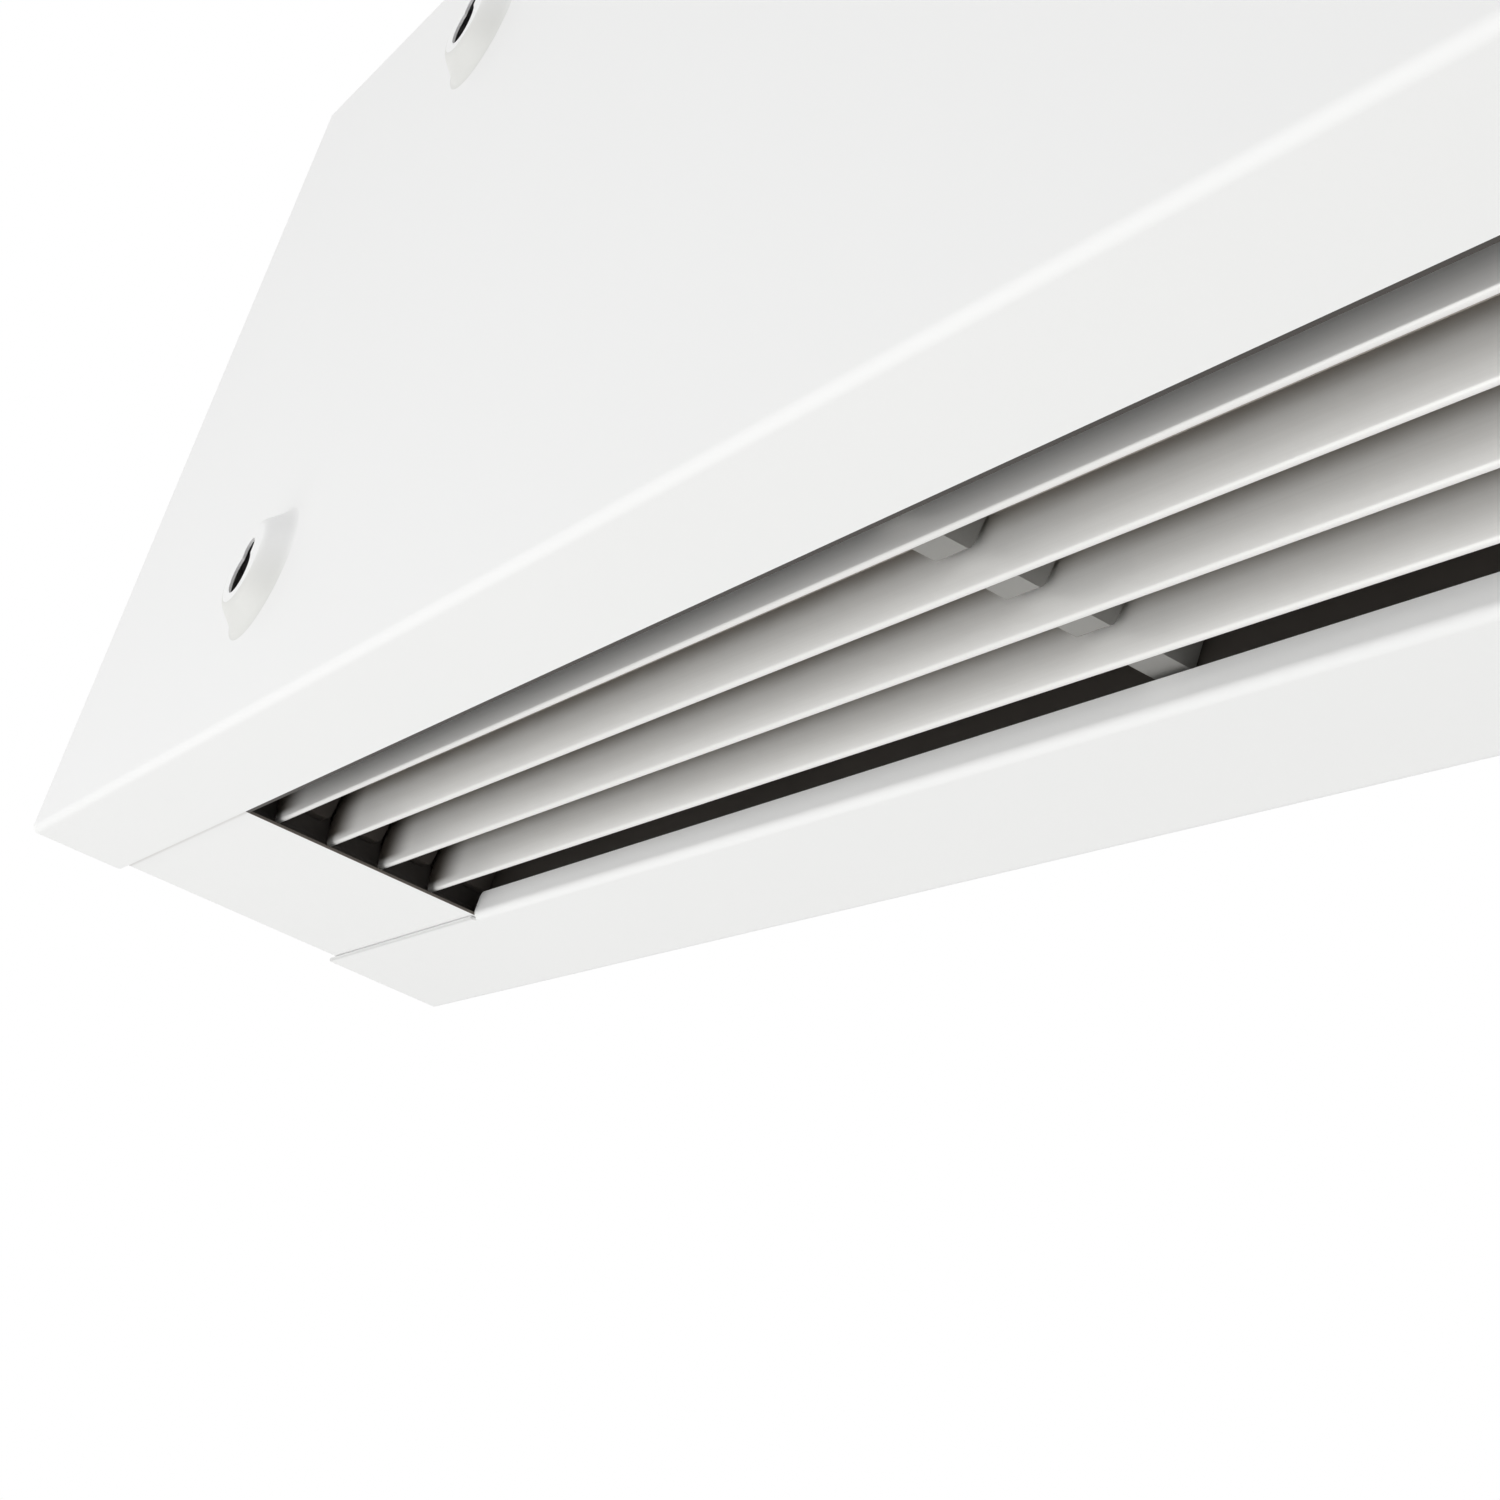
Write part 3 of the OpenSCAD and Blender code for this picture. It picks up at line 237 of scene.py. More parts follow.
def split_point(tree):
    """The place on the part as three sockets, X, Y and Z."""
    split = tree.nodes.new("ShaderNodeSeparateXYZ")
    tree.links.new(object_point(tree), split.inputs[0])
    return split.outputs


print("3 more helpers ready")

# %% [markdown]
# ### Powder coat
# White sheet-metal goods are sprayed with powder that melts into a skin about 0.08 mm
# thick. It never lies quite flat: under a low light it shows a fine "orange peel", and over
# a long panel its tone drifts a little. A fine noise makes the peel and a very slow one
# makes the drift.

# %% Group: powder coat
PEEL, start, end = start_group(
    "powder_peel", {"Peel size": 700.0, "Drift size": 3.0}, ["Height", "Drift"])
point = object_point(PEEL)
for size, detail, result in (("Peel size", 2.0, "Height"), ("Drift size", 3.0, "Drift")):
    noise = add_node(PEEL, "ShaderNodeTexNoise", values={"Detail": detail, "Roughness": 0.5})
    PEEL.links.new(point, noise.inputs["Vector"])
    PEEL.links.new(start[size], noise.inputs["Scale"])
    PEEL.links.new(noise.outputs["Fac"], end[result])
print(PEEL.name, len(PEEL.nodes), "nodes")

# %% [markdown]
# ### Zinc spangle
# Galvanised sheet has been dipped in molten zinc. As the zinc sets, it freezes into flat
# crystals about a centimetre across, each one turned a little and so a little lighter or
# darker. A Voronoi texture cuts the surface into such cells, and a soft cloud mixed in
# keeps them from looking like tiles.

# %% Group: zinc spangle
CLOUD_SHARE = 0.45

SPANGLE, start, end = start_group("zinc_spangle", {"Cells per metre": 110.0}, ["Tone", "Height"])
point = object_point(SPANGLE)
cells = add_node(SPANGLE, "ShaderNodeTexVoronoi")
cloud = add_node(SPANGLE, "ShaderNodeTexNoise", values={"Scale": 14.0, "Detail": 4.0})
grey = add_node(SPANGLE, "ShaderNodeSeparateColor")
blend = add_node(SPANGLE, "ShaderNodeMix", values={"Factor": CLOUD_SHARE})
SPANGLE.links.new(point, cells.inputs["Vector"])
SPANGLE.links.new(point, cloud.inputs["Vector"])
SPANGLE.links.new(start["Cells per metre"], cells.inputs["Scale"])
SPANGLE.links.new(cells.outputs["Color"], grey.inputs["Color"])
SPANGLE.links.new(grey.outputs["Red"], blend.inputs["A"])
SPANGLE.links.new(cloud.outputs["Fac"], blend.inputs["B"])
SPANGLE.links.new(blend.outputs["Result"], end["Tone"])
SPANGLE.links.new(cells.outputs["Distance"], end["Height"])
print(SPANGLE.name, len(SPANGLE.nodes), "nodes")

# %% [markdown]
# ### Drawn lines
# A slat is pushed hot through a die, a shaft is turned in a lathe and a can is drawn over a
# punch. Each of these leaves fine lines in one direction. Noise that is stretched a long
# way along one axis gives them: the three inputs say how many ripples there are in a metre
# along each axis.

# %% Group: drawn lines
LINES, start, end = start_group(
    "drawn_lines", {"Along X": 4.0, "Along Y": 1500.0, "Along Z": 1500.0}, ["Line"])
counts = add_node(LINES, "ShaderNodeCombineXYZ")
stretch = add_node(LINES, "ShaderNodeVectorMath", {"operation": "MULTIPLY"})
noise = add_node(LINES, "ShaderNodeTexNoise", values={"Scale": 1.0, "Detail": 3.0})
for axis in "XYZ":
    LINES.links.new(start[f"Along {axis}"], counts.inputs[axis])
LINES.links.new(object_point(LINES), stretch.inputs[0])
LINES.links.new(counts.outputs[0], stretch.inputs[1])
LINES.links.new(stretch.outputs[0], noise.inputs["Vector"])
LINES.links.new(noise.outputs["Fac"], end["Line"])
print(LINES.name, len(LINES.nodes), "nodes")

# %% [markdown]
# ### Moulded grain
# Plastic parts take the texture of the spark-eroded steel mould: an even, fine grain that
# makes them matt. A slower cloud lets the tone of the plastic change a little.

# %% Group: moulded grain
GRAIN, start, end = start_group("moulded_grain", {"Grains per metre": 1600.0}, ["Grain", "Cloud"])
grain = add_node(GRAIN, "ShaderNodeTexNoise", values={"Detail": 1.0, "Roughness": 0.4})
cloud = add_node(GRAIN, "ShaderNodeTexNoise", values={"Scale": 25.0, "Detail": 4.0})
point = object_point(GRAIN)
GRAIN.links.new(start["Grains per metre"], grain.inputs["Scale"])
for noise, result in ((grain, "Grain"), (cloud, "Cloud")):
    GRAIN.links.new(point, noise.inputs["Vector"])
    GRAIN.links.new(noise.outputs["Fac"], end[result])
print(GRAIN.name, len(GRAIN.nodes), "nodes")

# %% [markdown]
# ### Filter weave
# The cloth of the dust filter is woven from nylon threads about 1.4 mm apart. Two wave
# textures, one across the other, give the two sets of threads, and the higher one wins
# where they cross.

# %% Group: filter weave
WEAVE, start, end = start_group("filter_weave", {"Threads": 224.0}, ["Thread"])
point = object_point(WEAVE)
waves = [add_node(WEAVE, "ShaderNodeTexWave", {"bands_direction": axis}) for axis in "XZ"]
for wave in waves:
    WEAVE.links.new(point, wave.inputs["Vector"])
    WEAVE.links.new(start["Threads"], wave.inputs["Scale"])
higher = calc(WEAVE, "MAXIMUM", waves[0].outputs["Fac"], waves[1].outputs["Fac"])
WEAVE.links.new(higher, end["Thread"])
print(WEAVE.name, len(WEAVE.nodes), "nodes")

# %% [markdown]
# ### From a pattern to a finish
# All the finishes are made by the same few steps: a mask chooses between a dark and a light
# version of the colour and between two roughnesses, and a height feeds a Bump node. A
# pattern is a group with the names of the outputs to use as mask and as height, so a finish
# is only a few values. Metalness is the same all over a part and goes straight on the shader.

# %% Make a finish from a pattern
PAINTED = (PEEL, "Drift", "Height")
GALVANISED = (SPANGLE, "Tone", "Height")
DRAWN = (LINES, "Line", "Line")
MOULDED = (GRAIN, "Cloud", "Grain")
SINTERED = (GRAIN, "Grain", "Grain")
WOVEN = (WEAVE, "Thread", "Thread")


def make_finish(name, pattern, settings, dark, light, rough, bump_mm, metallic=0.0):
    """A material: a pattern, two colours, two roughnesses and a bump in millimetres."""
    group, mask_name, height_name = pattern
    material = bpy.data.materials.new(name)
    material.use_nodes = True
    tree = material.node_tree
    shader = tree.nodes["Principled BSDF"]
    shared = add_node(tree, "ShaderNodeGroup", {"node_tree": group}, settings)
    colour = add_node(tree, "ShaderNodeMix", {"data_type": "RGBA"},
                      {"A": (*dark, 1.0), "B": (*light, 1.0)})
    gloss = add_node(tree, "ShaderNodeMapRange", values={"To Min": rough[0], "To Max": rough[1]})
    bump = add_node(tree, "ShaderNodeBump", values={"Strength": 1.0, "Distance": bump_mm / 1000})
    tree.links.new(shared.outputs[mask_name], colour.inputs["Factor"])
    tree.links.new(shared.outputs[mask_name], gloss.inputs["Value"])
    tree.links.new(shared.outputs[height_name], bump.inputs["Height"])
    tree.links.new(colour.outputs["Result"], shader.inputs["Base Color"])
    tree.links.new(gloss.outputs["Result"], shader.inputs["Roughness"])
    tree.links.new(bump.outputs["Normal"], shader.inputs["Normal"])
    shader.inputs["Metallic"].default_value = metallic
    return material


def dress(material, *names):
    """Gives parts of the solid model their finish."""
    for name in names:
        mesh = parts[name].data
        for index in range(len(mesh.materials)):
            mesh.materials[index] = material
        if not mesh.materials:
            mesh.materials.append(material)


print("6 patterns ready")

# %% [markdown]
# ### A film over a finish
# A film darkens a finish that is already there. Most films here are painted shade: on the upper part
# and the ends of the slats, on the flanks of the bosses and along two seams. One more darkens the cut
# edge of the end plates. A film's mask multiplies the colour, so the pattern below still shows
# through.
# The same step also serves for seams, where the powder doesn't quite reach.

# %% Lay a film over a finish
def place_mask(material, group, limits=None):
    """A mask group set in a material. Gives back its Film socket."""
    node = add_node(material.node_tree, "ShaderNodeGroup", {"node_tree": group}, limits)
    return node.outputs["Film"]


def add_film(material, mask, colour):
    """Multiplies a finish by a colour where the mask is 1."""
    tree = material.node_tree
    base = tree.nodes["Principled BSDF"].inputs["Base Color"]
    film = add_node(tree, "ShaderNodeMix", {"data_type": "RGBA", "blend_type": "MULTIPLY"},
                    {"B": (*colour, 1.0)})
    tree.links.new(base.links[0].from_socket, film.inputs["A"])
    tree.links.new(mask, film.inputs["Factor"])
    tree.links.new(film.outputs["Result"], base)


print("films ready")

# %% [markdown]
# Three groups say where a film lies. The first follows the height on the part, with a cloud
# that makes its edge sway by up to 1.5 mm. The second follows the distance from the middle
# of the part, so it works on both ends at once.

# %% Groups: height and distance from the middle
SWAY = 0.0015

RISE, start, end = start_group("shade_rise", {"No film at": 0.0, "Full at": 0.01}, ["Film"])
cloud = add_node(RISE, "ShaderNodeTexNoise", values={"Scale": 60.0, "Detail": 3.0})
RISE.links.new(object_point(RISE), cloud.inputs["Vector"])
height = calc(RISE, "MULTIPLY_ADD", cloud.outputs["Fac"], SWAY, split_point(RISE)["Z"])
RISE.links.new(soft_step(RISE, height, start["No film at"], start["Full at"]), end["Film"])

ENDS, start, end = start_group("film_at_ends", {"No film at": 0.4, "Full at": 0.43}, ["Film"])
reach = calc(ENDS, "ABSOLUTE", split_point(ENDS)["X"])
ENDS.links.new(soft_step(ENDS, reach, start["No film at"], start["Full at"]), end["Film"])
print(RISE.name, ENDS.name)

# %% [markdown]
# The third marks the sloping flank of the four bosses that are pressed out of the back around the
# keyholes, where a cream painted shade lies, most of all below the keyhole. The bosses lie the same
# way left and right, above and below, so one sum folds all four onto one: the distance across and the
# height are taken from the nearest keyhole.

# %% Group: boss flanks
BOSS_X, BOSS_MIDDLE_Z, BOSS_RISE_Z = 0.3815, 0.0035, 0.1165
BOSS_TOP_R, BOSS_FOOT_R = 0.015, 0.026
FLANK_SHADE_NONE_UP, FLANK_SHADE_FULL_UP = 0.010, -0.012

FLANK, start, end = start_group("boss_flank", {"Inner": BOSS_TOP_R, "Outer": BOSS_FOOT_R}, ["Film"])
place = split_point(FLANK)
across = calc(FLANK, "SUBTRACT", calc(FLANK, "ABSOLUTE", place["X"]), BOSS_X)
from_middle = calc(FLANK, "SUBTRACT", place["Z"], BOSS_MIDDLE_Z)
from_row = calc(FLANK, "SUBTRACT", calc(FLANK, "ABSOLUTE", from_middle), BOSS_RISE_Z)
height = calc(FLANK, "MULTIPLY", from_row, calc(FLANK, "SIGN", from_middle))
squares = calc(FLANK, "MULTIPLY_ADD", height, height, calc(FLANK, "MULTIPLY", across, across))
radius = calc(FLANK, "SQRT", squares)
outside_top = calc(FLANK, "GREATER_THAN", radius, start["Inner"])
inside_foot = calc(FLANK, "LESS_THAN", radius, start["Outer"])
ring = calc(FLANK, "MULTIPLY", outside_top, inside_foot)
low_half = soft_step(FLANK, height, FLANK_SHADE_NONE_UP, FLANK_SHADE_FULL_UP)
FLANK.links.new(calc(FLANK, "MULTIPLY", ring, low_half), end["Film"])
print(FLANK.name, len(FLANK.nodes), "nodes")

# %% [markdown]
# ## The slats
# A slat is an aluminium profile with the section of a drop: thin at the nose, thickest a
# quarter of the way up and thin again at the head, with a round bead that it turns on. The
# solid model's slats carry few faces, and under a soft light their edges show as a second
# line. So each slat is modelled again here. Two functions choose what the next operator
# works on, by its place and not by its number, so they still work when a size changes.

# %% Helpers: choose vertices and edges
SAME_PLACE = 1e-4
LONG = 0.1


def pick(mesh, kind, test):
    """In edit mode, selects the vertices or edges whose places all pass a test."""
    bpy.ops.mesh.select_all(action="DESELECT")
    bpy.ops.object.mode_set(mode="OBJECT")
    for item in getattr(mesh, kind):
        corners = [item] if kind == "vertices" else [mesh.vertices[i] for i in item.vertices]
        item.select = all(test(corner.co) for corner in corners)
    bpy.ops.object.mode_set(mode="EDIT")


def pick_row(mesh, z):
    """In edit mode, selects the edges along X at one height."""
    bpy.ops.mesh.select_all(action="DESELECT")
    bpy.ops.object.mode_set(mode="OBJECT")
    for edge in mesh.edges:
        a, b = (mesh.vertices[i].co for i in edge.vertices)
        edge.select = abs(a.x - b.x) > LONG and abs(a.z - z) < SAME_PLACE
    bpy.ops.object.mode_set(mode="EDIT")


print("pick and pick_row ready")

# %% [markdown]
# ### The blade
# A long box, as high as the solid slat, is cut once at the height of the belly. That gives
# three rows of corners. The rows at the nose and at the head are drawn in to their
# thickness, and then each row is rounded by a bevel. The one at the belly is so wide that
# it curves both flanks of the drop.

# %% Model the blade
SLAT_NOSE, SLAT_BELLY, SLAT_HEAD = 0.0020, 0.0061, 0.0024
BELLY_UP = 0.0095
BELLY_ROUND, NOSE_ROUND, HEAD_ROUND = 0.0078, 0.0009, 0.0011
BELLY_STEPS, TIP_STEPS = 12, 6


def model_blade(name, low, high):
    """The drop-shaped blade of a slat, in the box of the solid one."""
    middle = (low + high) / 2
    bpy.ops.object.select_all(action="DESELECT")
    bpy.ops.mesh.primitive_cube_add(size=1, location=middle,
                                    scale=(high.x - low.x, SLAT_BELLY, high.z - low.z))
    blade = bpy.context.object
    blade.name = name
    bpy.ops.object.transform_apply(location=True, rotation=True, scale=True)
    mesh = blade.data
    bpy.ops.object.mode_set(mode="EDIT")
    bpy.ops.mesh.select_mode(type="VERT")
    bpy.ops.mesh.select_all(action="SELECT")
    bpy.ops.mesh.bisect(plane_co=(0, 0, low.z + BELLY_UP), plane_no=(0, 0, 1))
    for z, thick in ((low.z, SLAT_NOSE), (high.z, SLAT_HEAD)):
        pick(mesh, "vertices", lambda place: abs(place.z - z) < SAME_PLACE)
        bpy.ops.transform.resize(value=(1, thick / SLAT_BELLY, 1), center_override=(0, middle.y, z))
    bpy.ops.mesh.select_mode(type="EDGE")
    for z, width, steps in ((low.z + BELLY_UP, BELLY_ROUND, BELLY_STEPS),
                            (low.z, NOSE_ROUND, TIP_STEPS), (high.z, HEAD_ROUND, TIP_STEPS)):
        pick_row(mesh, z)
        bpy.ops.mesh.bevel(offset=width, segments=steps, affect="EDGES")
    bpy.ops.object.mode_set(mode="OBJECT")
    return blade


first_low, first_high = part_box("slat_1")
first_slat = model_blade("slat_blade_1", first_low, first_high)
print(f"blade of {len(first_slat.data.polygons)} faces")

# %% [markdown]
# ### The bead
# The bead is a rod through the whole length of the slat. The combs clip around it, and the
# slat turns on it. It is a cylinder laid along X with its two end edges broken, joined to
# the blade. Shade Smooth by Angle then hides the facets and keeps the true corners.

# %% Add the bead
BEAD_UP, BEAD_R, BEAD_ROUND = 0.0215, 0.0034, 0.0004
BEAD_SIDES, BEAD_STEPS = 32, 2
SMOOTH_UNDER = 0.6

half_length = (first_high.x - first_low.x) / 2
first_middle = (first_low + first_high) / 2
bpy.ops.mesh.primitive_cylinder_add(
    vertices=BEAD_SIDES, radius=BEAD_R, depth=2 * half_length, rotation=(0, radians(90), 0),
    location=(first_middle.x, first_middle.y, first_low.z + BEAD_UP))
bead = bpy.context.object
bpy.ops.object.transform_apply(location=True, rotation=True, scale=True)
bpy.ops.object.mode_set(mode="EDIT")
bpy.ops.mesh.select_mode(type="EDGE")
pick(bead.data, "edges", lambda place: abs(abs(place.x) - half_length) < SAME_PLACE)
bpy.ops.mesh.bevel(offset=BEAD_ROUND, segments=BEAD_STEPS, affect="EDGES")
bpy.ops.object.mode_set(mode="OBJECT")
first_slat.select_set(True)
bpy.context.view_layer.objects.active = first_slat
bpy.ops.object.join()
bpy.ops.object.shade_smooth_by_angle(angle=SMOOTH_UNDER)
print(f"slat of {len(first_slat.data.polygons)} faces")

# %% [markdown]
# ### Four slats
# The other three are copies with meshes of their own, moved to where their solid slats are.
# The move is applied, so that the place is in the mesh. Each slat rides on its own body,
# because each one turns on its own, and it stands in for its solid one.

# %% Copy the slat
slat_pieces = [first_slat]
for number in (2, 3, 4):
    low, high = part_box(f"slat_{number}")
    bpy.ops.object.select_all(action="DESELECT")
    first_slat.select_set(True)
    bpy.context.view_layer.objects.active = first_slat
    bpy.ops.object.duplicate(linked=False)
    copy = bpy.context.object
    copy.name = f"slat_blade_{number}"
    copy.location = low - first_low
    bpy.ops.object.transform_apply(location=True, rotation=True, scale=True)
    slat_pieces.append(copy)
for number, piece in enumerate(slat_pieces, 1):
    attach(piece, f"slat_{number}_body")
    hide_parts(f"slat_{number}")
print(f"{len(slat_pieces)} slats, {[round(v * 1000, 1) for v in first_slat.dimensions]} mm")

# %% [markdown]
# ## The filter's net
# The dust filter is a fine cloth in a plastic frame, and a coarse net is moulded over the
# cloth so that it can't be sucked in. The solid filter has the frame, the ribs and the cloth
# as a thin sheet. The net is a grid of squares laid on that sheet. A Wireframe modifier
# turns each edge of the grid into a thread.

# %% Model the net
FILTER_RIM, NET_PITCH, THREAD, CLOTH_T = 0.008, 0.005, 0.0006, 0.001

filter_low, filter_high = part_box("intake_filter")
filter_middle = (filter_low + filter_high) / 2
net_width = filter_high.x - filter_low.x - 2 * FILTER_RIM
net_height = filter_high.z - filter_low.z - 2 * FILTER_RIM
net_y = filter_middle.y - CLOTH_T / 2 - THREAD / 2
bpy.ops.object.select_all(action="DESELECT")
bpy.ops.mesh.primitive_grid_add(
    x_subdivisions=round(net_width / NET_PITCH), y_subdivisions=round(net_height / NET_PITCH),
    size=1, location=(filter_middle.x, net_y, filter_middle.z), rotation=(radians(90), 0, 0))
net = bpy.context.object
net.name = "filter_net"
net.scale = (net_width, net_height, 1)
bpy.ops.object.transform_apply(location=True, rotation=True, scale=True)
threads = net.modifiers.new("threads", "WIREFRAME")
threads.thickness = THREAD
threads.use_even_offset = False
bpy.ops.object.modifier_apply(modifier="threads")
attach(net, "casing")
print(f"net of {len(net.data.polygons)} faces, {[round(v * 1000, 1) for v in net.dimensions]} mm")

# %% [markdown]
# ## The white casing
# The back panel, the cover and the end plates are folded from steel sheet and coated white.
# They share one coat, but each gets a copy of it, because each has its own places that look
# different.
#
# On the cover, that is the edge of the bottom flange beside the outlet. The end plate butts against
# it there, and the shade in the gap of the seam is painted on as a thin grey line. Three masks
# multiplied together find it: below the casing, close to the edge and outside the outlet.

# %% Dress the cover
OPENING_X, FLANGE_EDGE_Y, UNDERSIDE_Z = 0.4455, -0.1445, -0.1768
SEAM_FROM, SEAM_TO, BESIDE_SOFT = 0.0017, 0.0003, 0.001
# Grey painted shade for the gap of the seam:
FRONT_SEAM_SHADE = (0.80, 0.80, 0.80)

white_coat = make_finish("powder_coat_white", PAINTED, {},
                         (0.868, 0.870, 0.868), (0.888, 0.890, 0.888), (0.42, 0.5), 0.004)
front_coat = white_coat.copy()
front_coat.name = "powder_coat_front"
front_tree = front_coat.node_tree
place = split_point(front_tree)
below = calc(front_tree, "LESS_THAN", place["Z"], UNDERSIDE_Z)
at_edge = soft_step(front_tree, place["Y"], FLANGE_EDGE_Y - SEAM_FROM, FLANGE_EDGE_Y - SEAM_TO)
beside = place_mask(front_coat, ENDS, {"No film at": OPENING_X, "Full at": OPENING_X + BESIDE_SOFT})
edge_below = calc(front_tree, "MULTIPLY", below, at_edge)
add_film(front_coat, calc(front_tree, "MULTIPLY", edge_below, beside), FRONT_SEAM_SHADE)
dress(front_coat, "front_cover")
print(front_coat.name, "on the cover")

# %% [markdown]
# On the back panel it is the flank of the bosses, with its painted shade. On the end plates there are
# two such places. One is the raw edge beside the outlet, which was cut after coating; a film makes it
# dark brown, and the flange for half a millimetre beside it. The other is painted shade that starts
# at the seam with the rear strip, where the strip's edge shades the plate: from there on the coat is
# a shade greyer. That mask follows Y alone, so it also takes in the rear end of the plate's outer
# face.

# %% Dress the back panel and the end plates
STRIP_EDGE_Y = -0.0475
STRIP_SEAM_FROM, STRIP_SEAM_TO = 0.0028, 0.0014
CUT_EDGE_NONE, CUT_EDGE_FULL = 0.0005, 0.0001
# Cream painted shade for the flanks of the bosses:
FLANK_SHADE_CREAM = (0.82, 0.82, 0.80)
CUT_EDGE_BROWN = (0.16, 0.14, 0.12)
# Grey painted shade behind the edge of the rear strip:
STRIP_SEAM_SHADE = (0.84, 0.83, 0.82)

back_coat = white_coat.copy()
back_coat.name = "powder_coat_back"
add_film(back_coat, place_mask(back_coat, FLANK), FLANK_SHADE_CREAM)
dress(back_coat, "back_panel")

end_coat = white_coat.copy()
end_coat.name = "powder_coat_ends"
cut_edge = place_mask(end_coat, ENDS, {"No film at": OPENING_X + CUT_EDGE_NONE,
                                       "Full at": OPENING_X + CUT_EDGE_FULL})
add_film(end_coat, cut_edge, CUT_EDGE_BROWN)
strip_seam = soft_step(end_coat.node_tree, split_point(end_coat.node_tree)["Y"],
                       STRIP_EDGE_Y - STRIP_SEAM_FROM, STRIP_EDGE_Y - STRIP_SEAM_TO)
add_film(end_coat, strip_seam, STRIP_SEAM_SHADE)
dress(end_coat, "end_plate_left", "end_plate_right")
print(back_coat.name, end_coat.name)

# %% [markdown]
# ## Sheet metal inside
# Brackets and holders stay bare galvanised steel. The duct that leads the air is painted dark, so
# that one doesn't see into it: the side plates, the scroll around the rotor and the tongue across
# from it. Its colour here is nearly black: that dark paint, with painted shade for the deep inside of
# the outlet.

# %% Dress the sheet metal inside
zinc = make_finish("galvanised_sheet", GALVANISED, {},
                   (0.42, 0.43, 0.44), (0.62, 0.63, 0.64), (0.55, 0.35), 0.002, metallic=0.9)
dress(zinc, "bearing_housing", "motor_cradle", "heater_brackets", "terminal_bracket",
      "capacitor_clip", "filter_rails")
# Dark paint made nearly black with painted shade:
duct_dark_and_shade = make_finish("duct_paint_and_shade", PAINTED, {"Peel size": 500.0, "Drift size": 9.0},
                        (0.036, 0.031, 0.027), (0.062, 0.054, 0.047), (0.5, 0.6), 0.01)
dress(duct_dark_and_shade, "side_plate_left", "side_plate_right", "fan_scroll", "fan_tongue")
print(zinc.name, duct_dark_and_shade.name)

# %% [markdown]
# ## Slats
# The slats are satin anodised aluminium. They are bright at the nose and brown towards the head: the
# brown is painted shade, where the slats shade each other. The last bit at each end gets a darker
# painted shade, cast by the end comb and the dark side plate, but not on the nose.

# %% Dress the slats
SHADE_START_UP, SHADE_FULL_UP = 0.0115, 0.0215
NOSE_UNSHADED_UP, NOSE_SHADED_UP = 0.0015, 0.0045
END_SHADE_FROM, END_SHADE_TO = 0.034, 0.004
# Both browns are painted shade:
SLAT_SHADE_BROWN = (0.48, 0.44, 0.40)
SLAT_END_SHADE_BROWN = (0.13, 0.11, 0.095)

slat_finish = make_finish("slat_anodised", DRAWN, {},
                          (0.87, 0.865, 0.85), (0.92, 0.915, 0.90), (0.36, 0.28), 0.002, metallic=0.3)
nose_z, end_x = first_low.z, first_high.x
upper = place_mask(slat_finish, RISE, {"No film at": nose_z + SHADE_START_UP,
                                       "Full at": nose_z + SHADE_FULL_UP})
add_film(slat_finish, upper, SLAT_SHADE_BROWN)
at_ends = place_mask(slat_finish, ENDS, {"No film at": end_x - END_SHADE_FROM,
                                         "Full at": end_x - END_SHADE_TO})
above_nose = place_mask(slat_finish, RISE, {"No film at": nose_z + NOSE_UNSHADED_UP,
                                            "Full at": nose_z + NOSE_SHADED_UP})
end_shade = calc(slat_finish.node_tree, "MULTIPLY", at_ends, above_nose)
add_film(slat_finish, end_shade, SLAT_END_SHADE_BROWN)
dress(slat_finish, "slat_1", "slat_2", "slat_3", "slat_4")
for piece in slat_pieces:
    piece.data.materials.append(slat_finish)
print(slat_finish.name, "on", len(slat_pieces), "slats")

# %% [markdown]
# ## Combs
# The combs are moulded in grey plastic. The two at the ends sit in the dark corners of the outlet and
# get a nearly black copy of it, which is painted shade.

# %% Dress the combs
comb_finish = make_finish("comb_plastic", MOULDED, {},
                          (0.22, 0.215, 0.205), (0.36, 0.355, 0.34), (0.6, 0.7), 0.02)
dress(comb_finish, "comb_middle")
# A nearly black copy of the plastic, as painted shade:
shaded_comb = make_finish("comb_plastic_shaded", MOULDED, {},
                           (0.05, 0.042, 0.036), (0.09, 0.078, 0.068), (0.6, 0.7), 0.02)
dress(shaded_comb, "comb_left", "comb_right")
print(comb_finish.name, shaded_comb.name)

# %% [markdown]
# ## Turned and drawn metal
# The rotor is rolled from aluminium sheet. Shafts, pins and screws are ground or turned, so
# their lines run around them. For that, the ripples lie close together along X and wide
# apart across it. The heating rods have a steel skin that the heat has tinted, and the
# capacitor has a drawn aluminium can.

# %% Dress the turned and drawn metal
rotor_finish = make_finish("rotor_aluminium", DRAWN, {},
                           (0.50, 0.51, 0.52), (0.60, 0.61, 0.62), (0.42, 0.3), 0.002, metallic=1.0)
dress(rotor_finish, "rotor")
steel = make_finish("ground_steel", DRAWN, {"Along X": 1500.0, "Along Y": 4.0, "Along Z": 4.0},
                    (0.56, 0.56, 0.57), (0.68, 0.68, 0.69), (0.35, 0.22), 0.002, metallic=1.0)
dress(steel, "rotor_stub", "motor_shaft", "grille_pins", "cover_screws")
heater_finish = make_finish("heater_steel", DRAWN, {},
                            (0.36, 0.34, 0.32), (0.52, 0.50, 0.47), (0.45, 0.3), 0.002, metallic=1.0)
dress(heater_finish, "heater_1", "heater_2", "heater_3")
can = make_finish("drawn_can", DRAWN, {},
                  (0.6, 0.6, 0.61), (0.72, 0.72, 0.73), (0.4, 0.28), 0.002, metallic=1.0)
dress(can, "run_capacitor")
print(rotor_finish.name, steel.name, heater_finish.name, can.name)

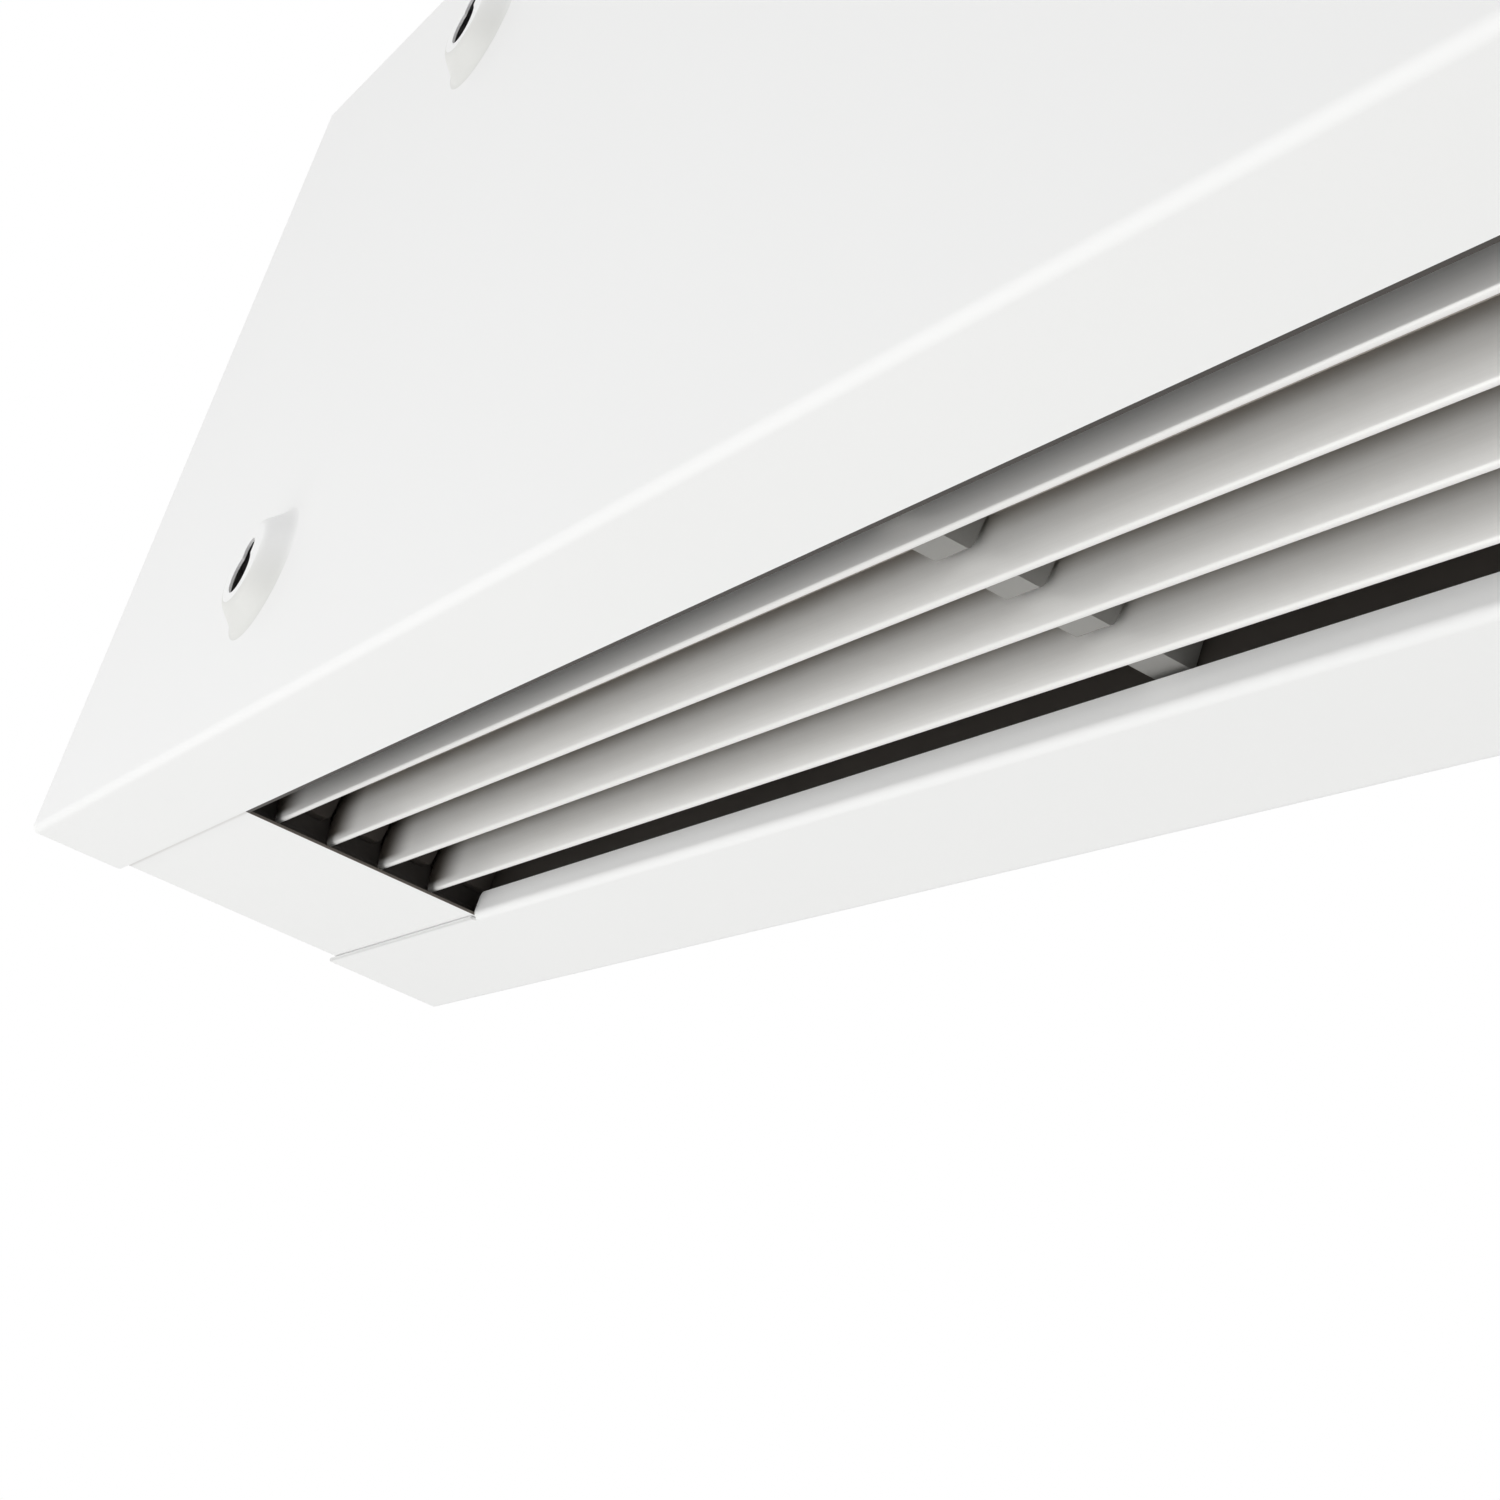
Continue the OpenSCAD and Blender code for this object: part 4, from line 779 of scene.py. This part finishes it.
# %% [markdown]
# ## Bearing and motor
# The bush is pressed and baked from bronze powder that holds oil, so it looks grainy. The
# rings and the hub around it are black rubber. The motor has a coat of dark lacquer, and so
# have the magnets of the grille.

# %% Dress the bearing and the motor
bronze = make_finish("sintered_bronze", SINTERED, {"Grains per metre": 3000.0},
                     (0.4, 0.27, 0.12), (0.62, 0.45, 0.22), (0.5, 0.4), 0.02, metallic=1.0)
dress(bronze, "bearing_bush")
rubber = make_finish("black_rubber", MOULDED, {},
                     (0.03, 0.03, 0.03), (0.06, 0.06, 0.06), (0.8, 0.65), 0.02)
dress(rubber, "drive_hub", "bearing_rubber", "motor_rings")
motor_lacquer = make_finish("motor_lacquer", PAINTED, {"Peel size": 900.0},
                            (0.10, 0.105, 0.11), (0.14, 0.145, 0.15), (0.4, 0.5), 0.01)
dress(motor_lacquer, "motor", "grille_magnets")
print(bronze.name, rubber.name, motor_lacquer.name)

# %% [markdown]
# ## Electrical parts
# The thermostat has a glazed ceramic body and the terminal block is cream plastic. The
# gland and its nut are black nylon, and the circuit board is green under its lacquer.

# %% Dress the electrical parts
glaze = make_finish("glazed_ceramic", MOULDED, {},
                    (0.80, 0.78, 0.72), (0.86, 0.84, 0.78), (0.15, 0.22), 0.002)
dress(glaze, "thermostat")
pale_plastic = make_finish("terminal_plastic", MOULDED, {},
                           (0.66, 0.65, 0.60), (0.72, 0.71, 0.66), (0.5, 0.6), 0.01)
dress(pale_plastic, "terminal_block", "board_standoffs")
black_plastic = make_finish("gland_plastic", MOULDED, {},
                            (0.02, 0.02, 0.022), (0.04, 0.04, 0.042), (0.5, 0.6), 0.01)
dress(black_plastic, "cable_gland", "gland_nut")
board = make_finish("circuit_board", MOULDED, {},
                    (0.03, 0.16, 0.08), (0.05, 0.22, 0.11), (0.25, 0.35), 0.005)
dress(board, "control_board")
print(glaze.name, pale_plastic.name, black_plastic.name, board.name)

# %% [markdown]
# ## Grille and filter
# The intake grille is moulded in a white that is close to the coat, but matt. Behind it the
# filter is black, and only the threads of its cloth and of its net catch some light.

# %% Dress the grille and the filter
grille_plastic = make_finish("grille_plastic", MOULDED, {},
                             (0.85, 0.855, 0.845), (0.88, 0.882, 0.875), (0.5, 0.6), 0.012)
dress(grille_plastic, "intake_grille")
filter_cloth = make_finish("filter_mesh", WOVEN, {},
                           (0.012, 0.012, 0.013), (0.085, 0.085, 0.09), (0.8, 0.55), 0.2)
dress(filter_cloth, "intake_filter")
net_nylon = make_finish("net_nylon", MOULDED, {},
                        (0.10, 0.10, 0.105), (0.16, 0.16, 0.165), (0.5, 0.6), 0.01)
net.data.materials.append(net_nylon)
print(f"{len(bpy.data.materials)} materials in all")
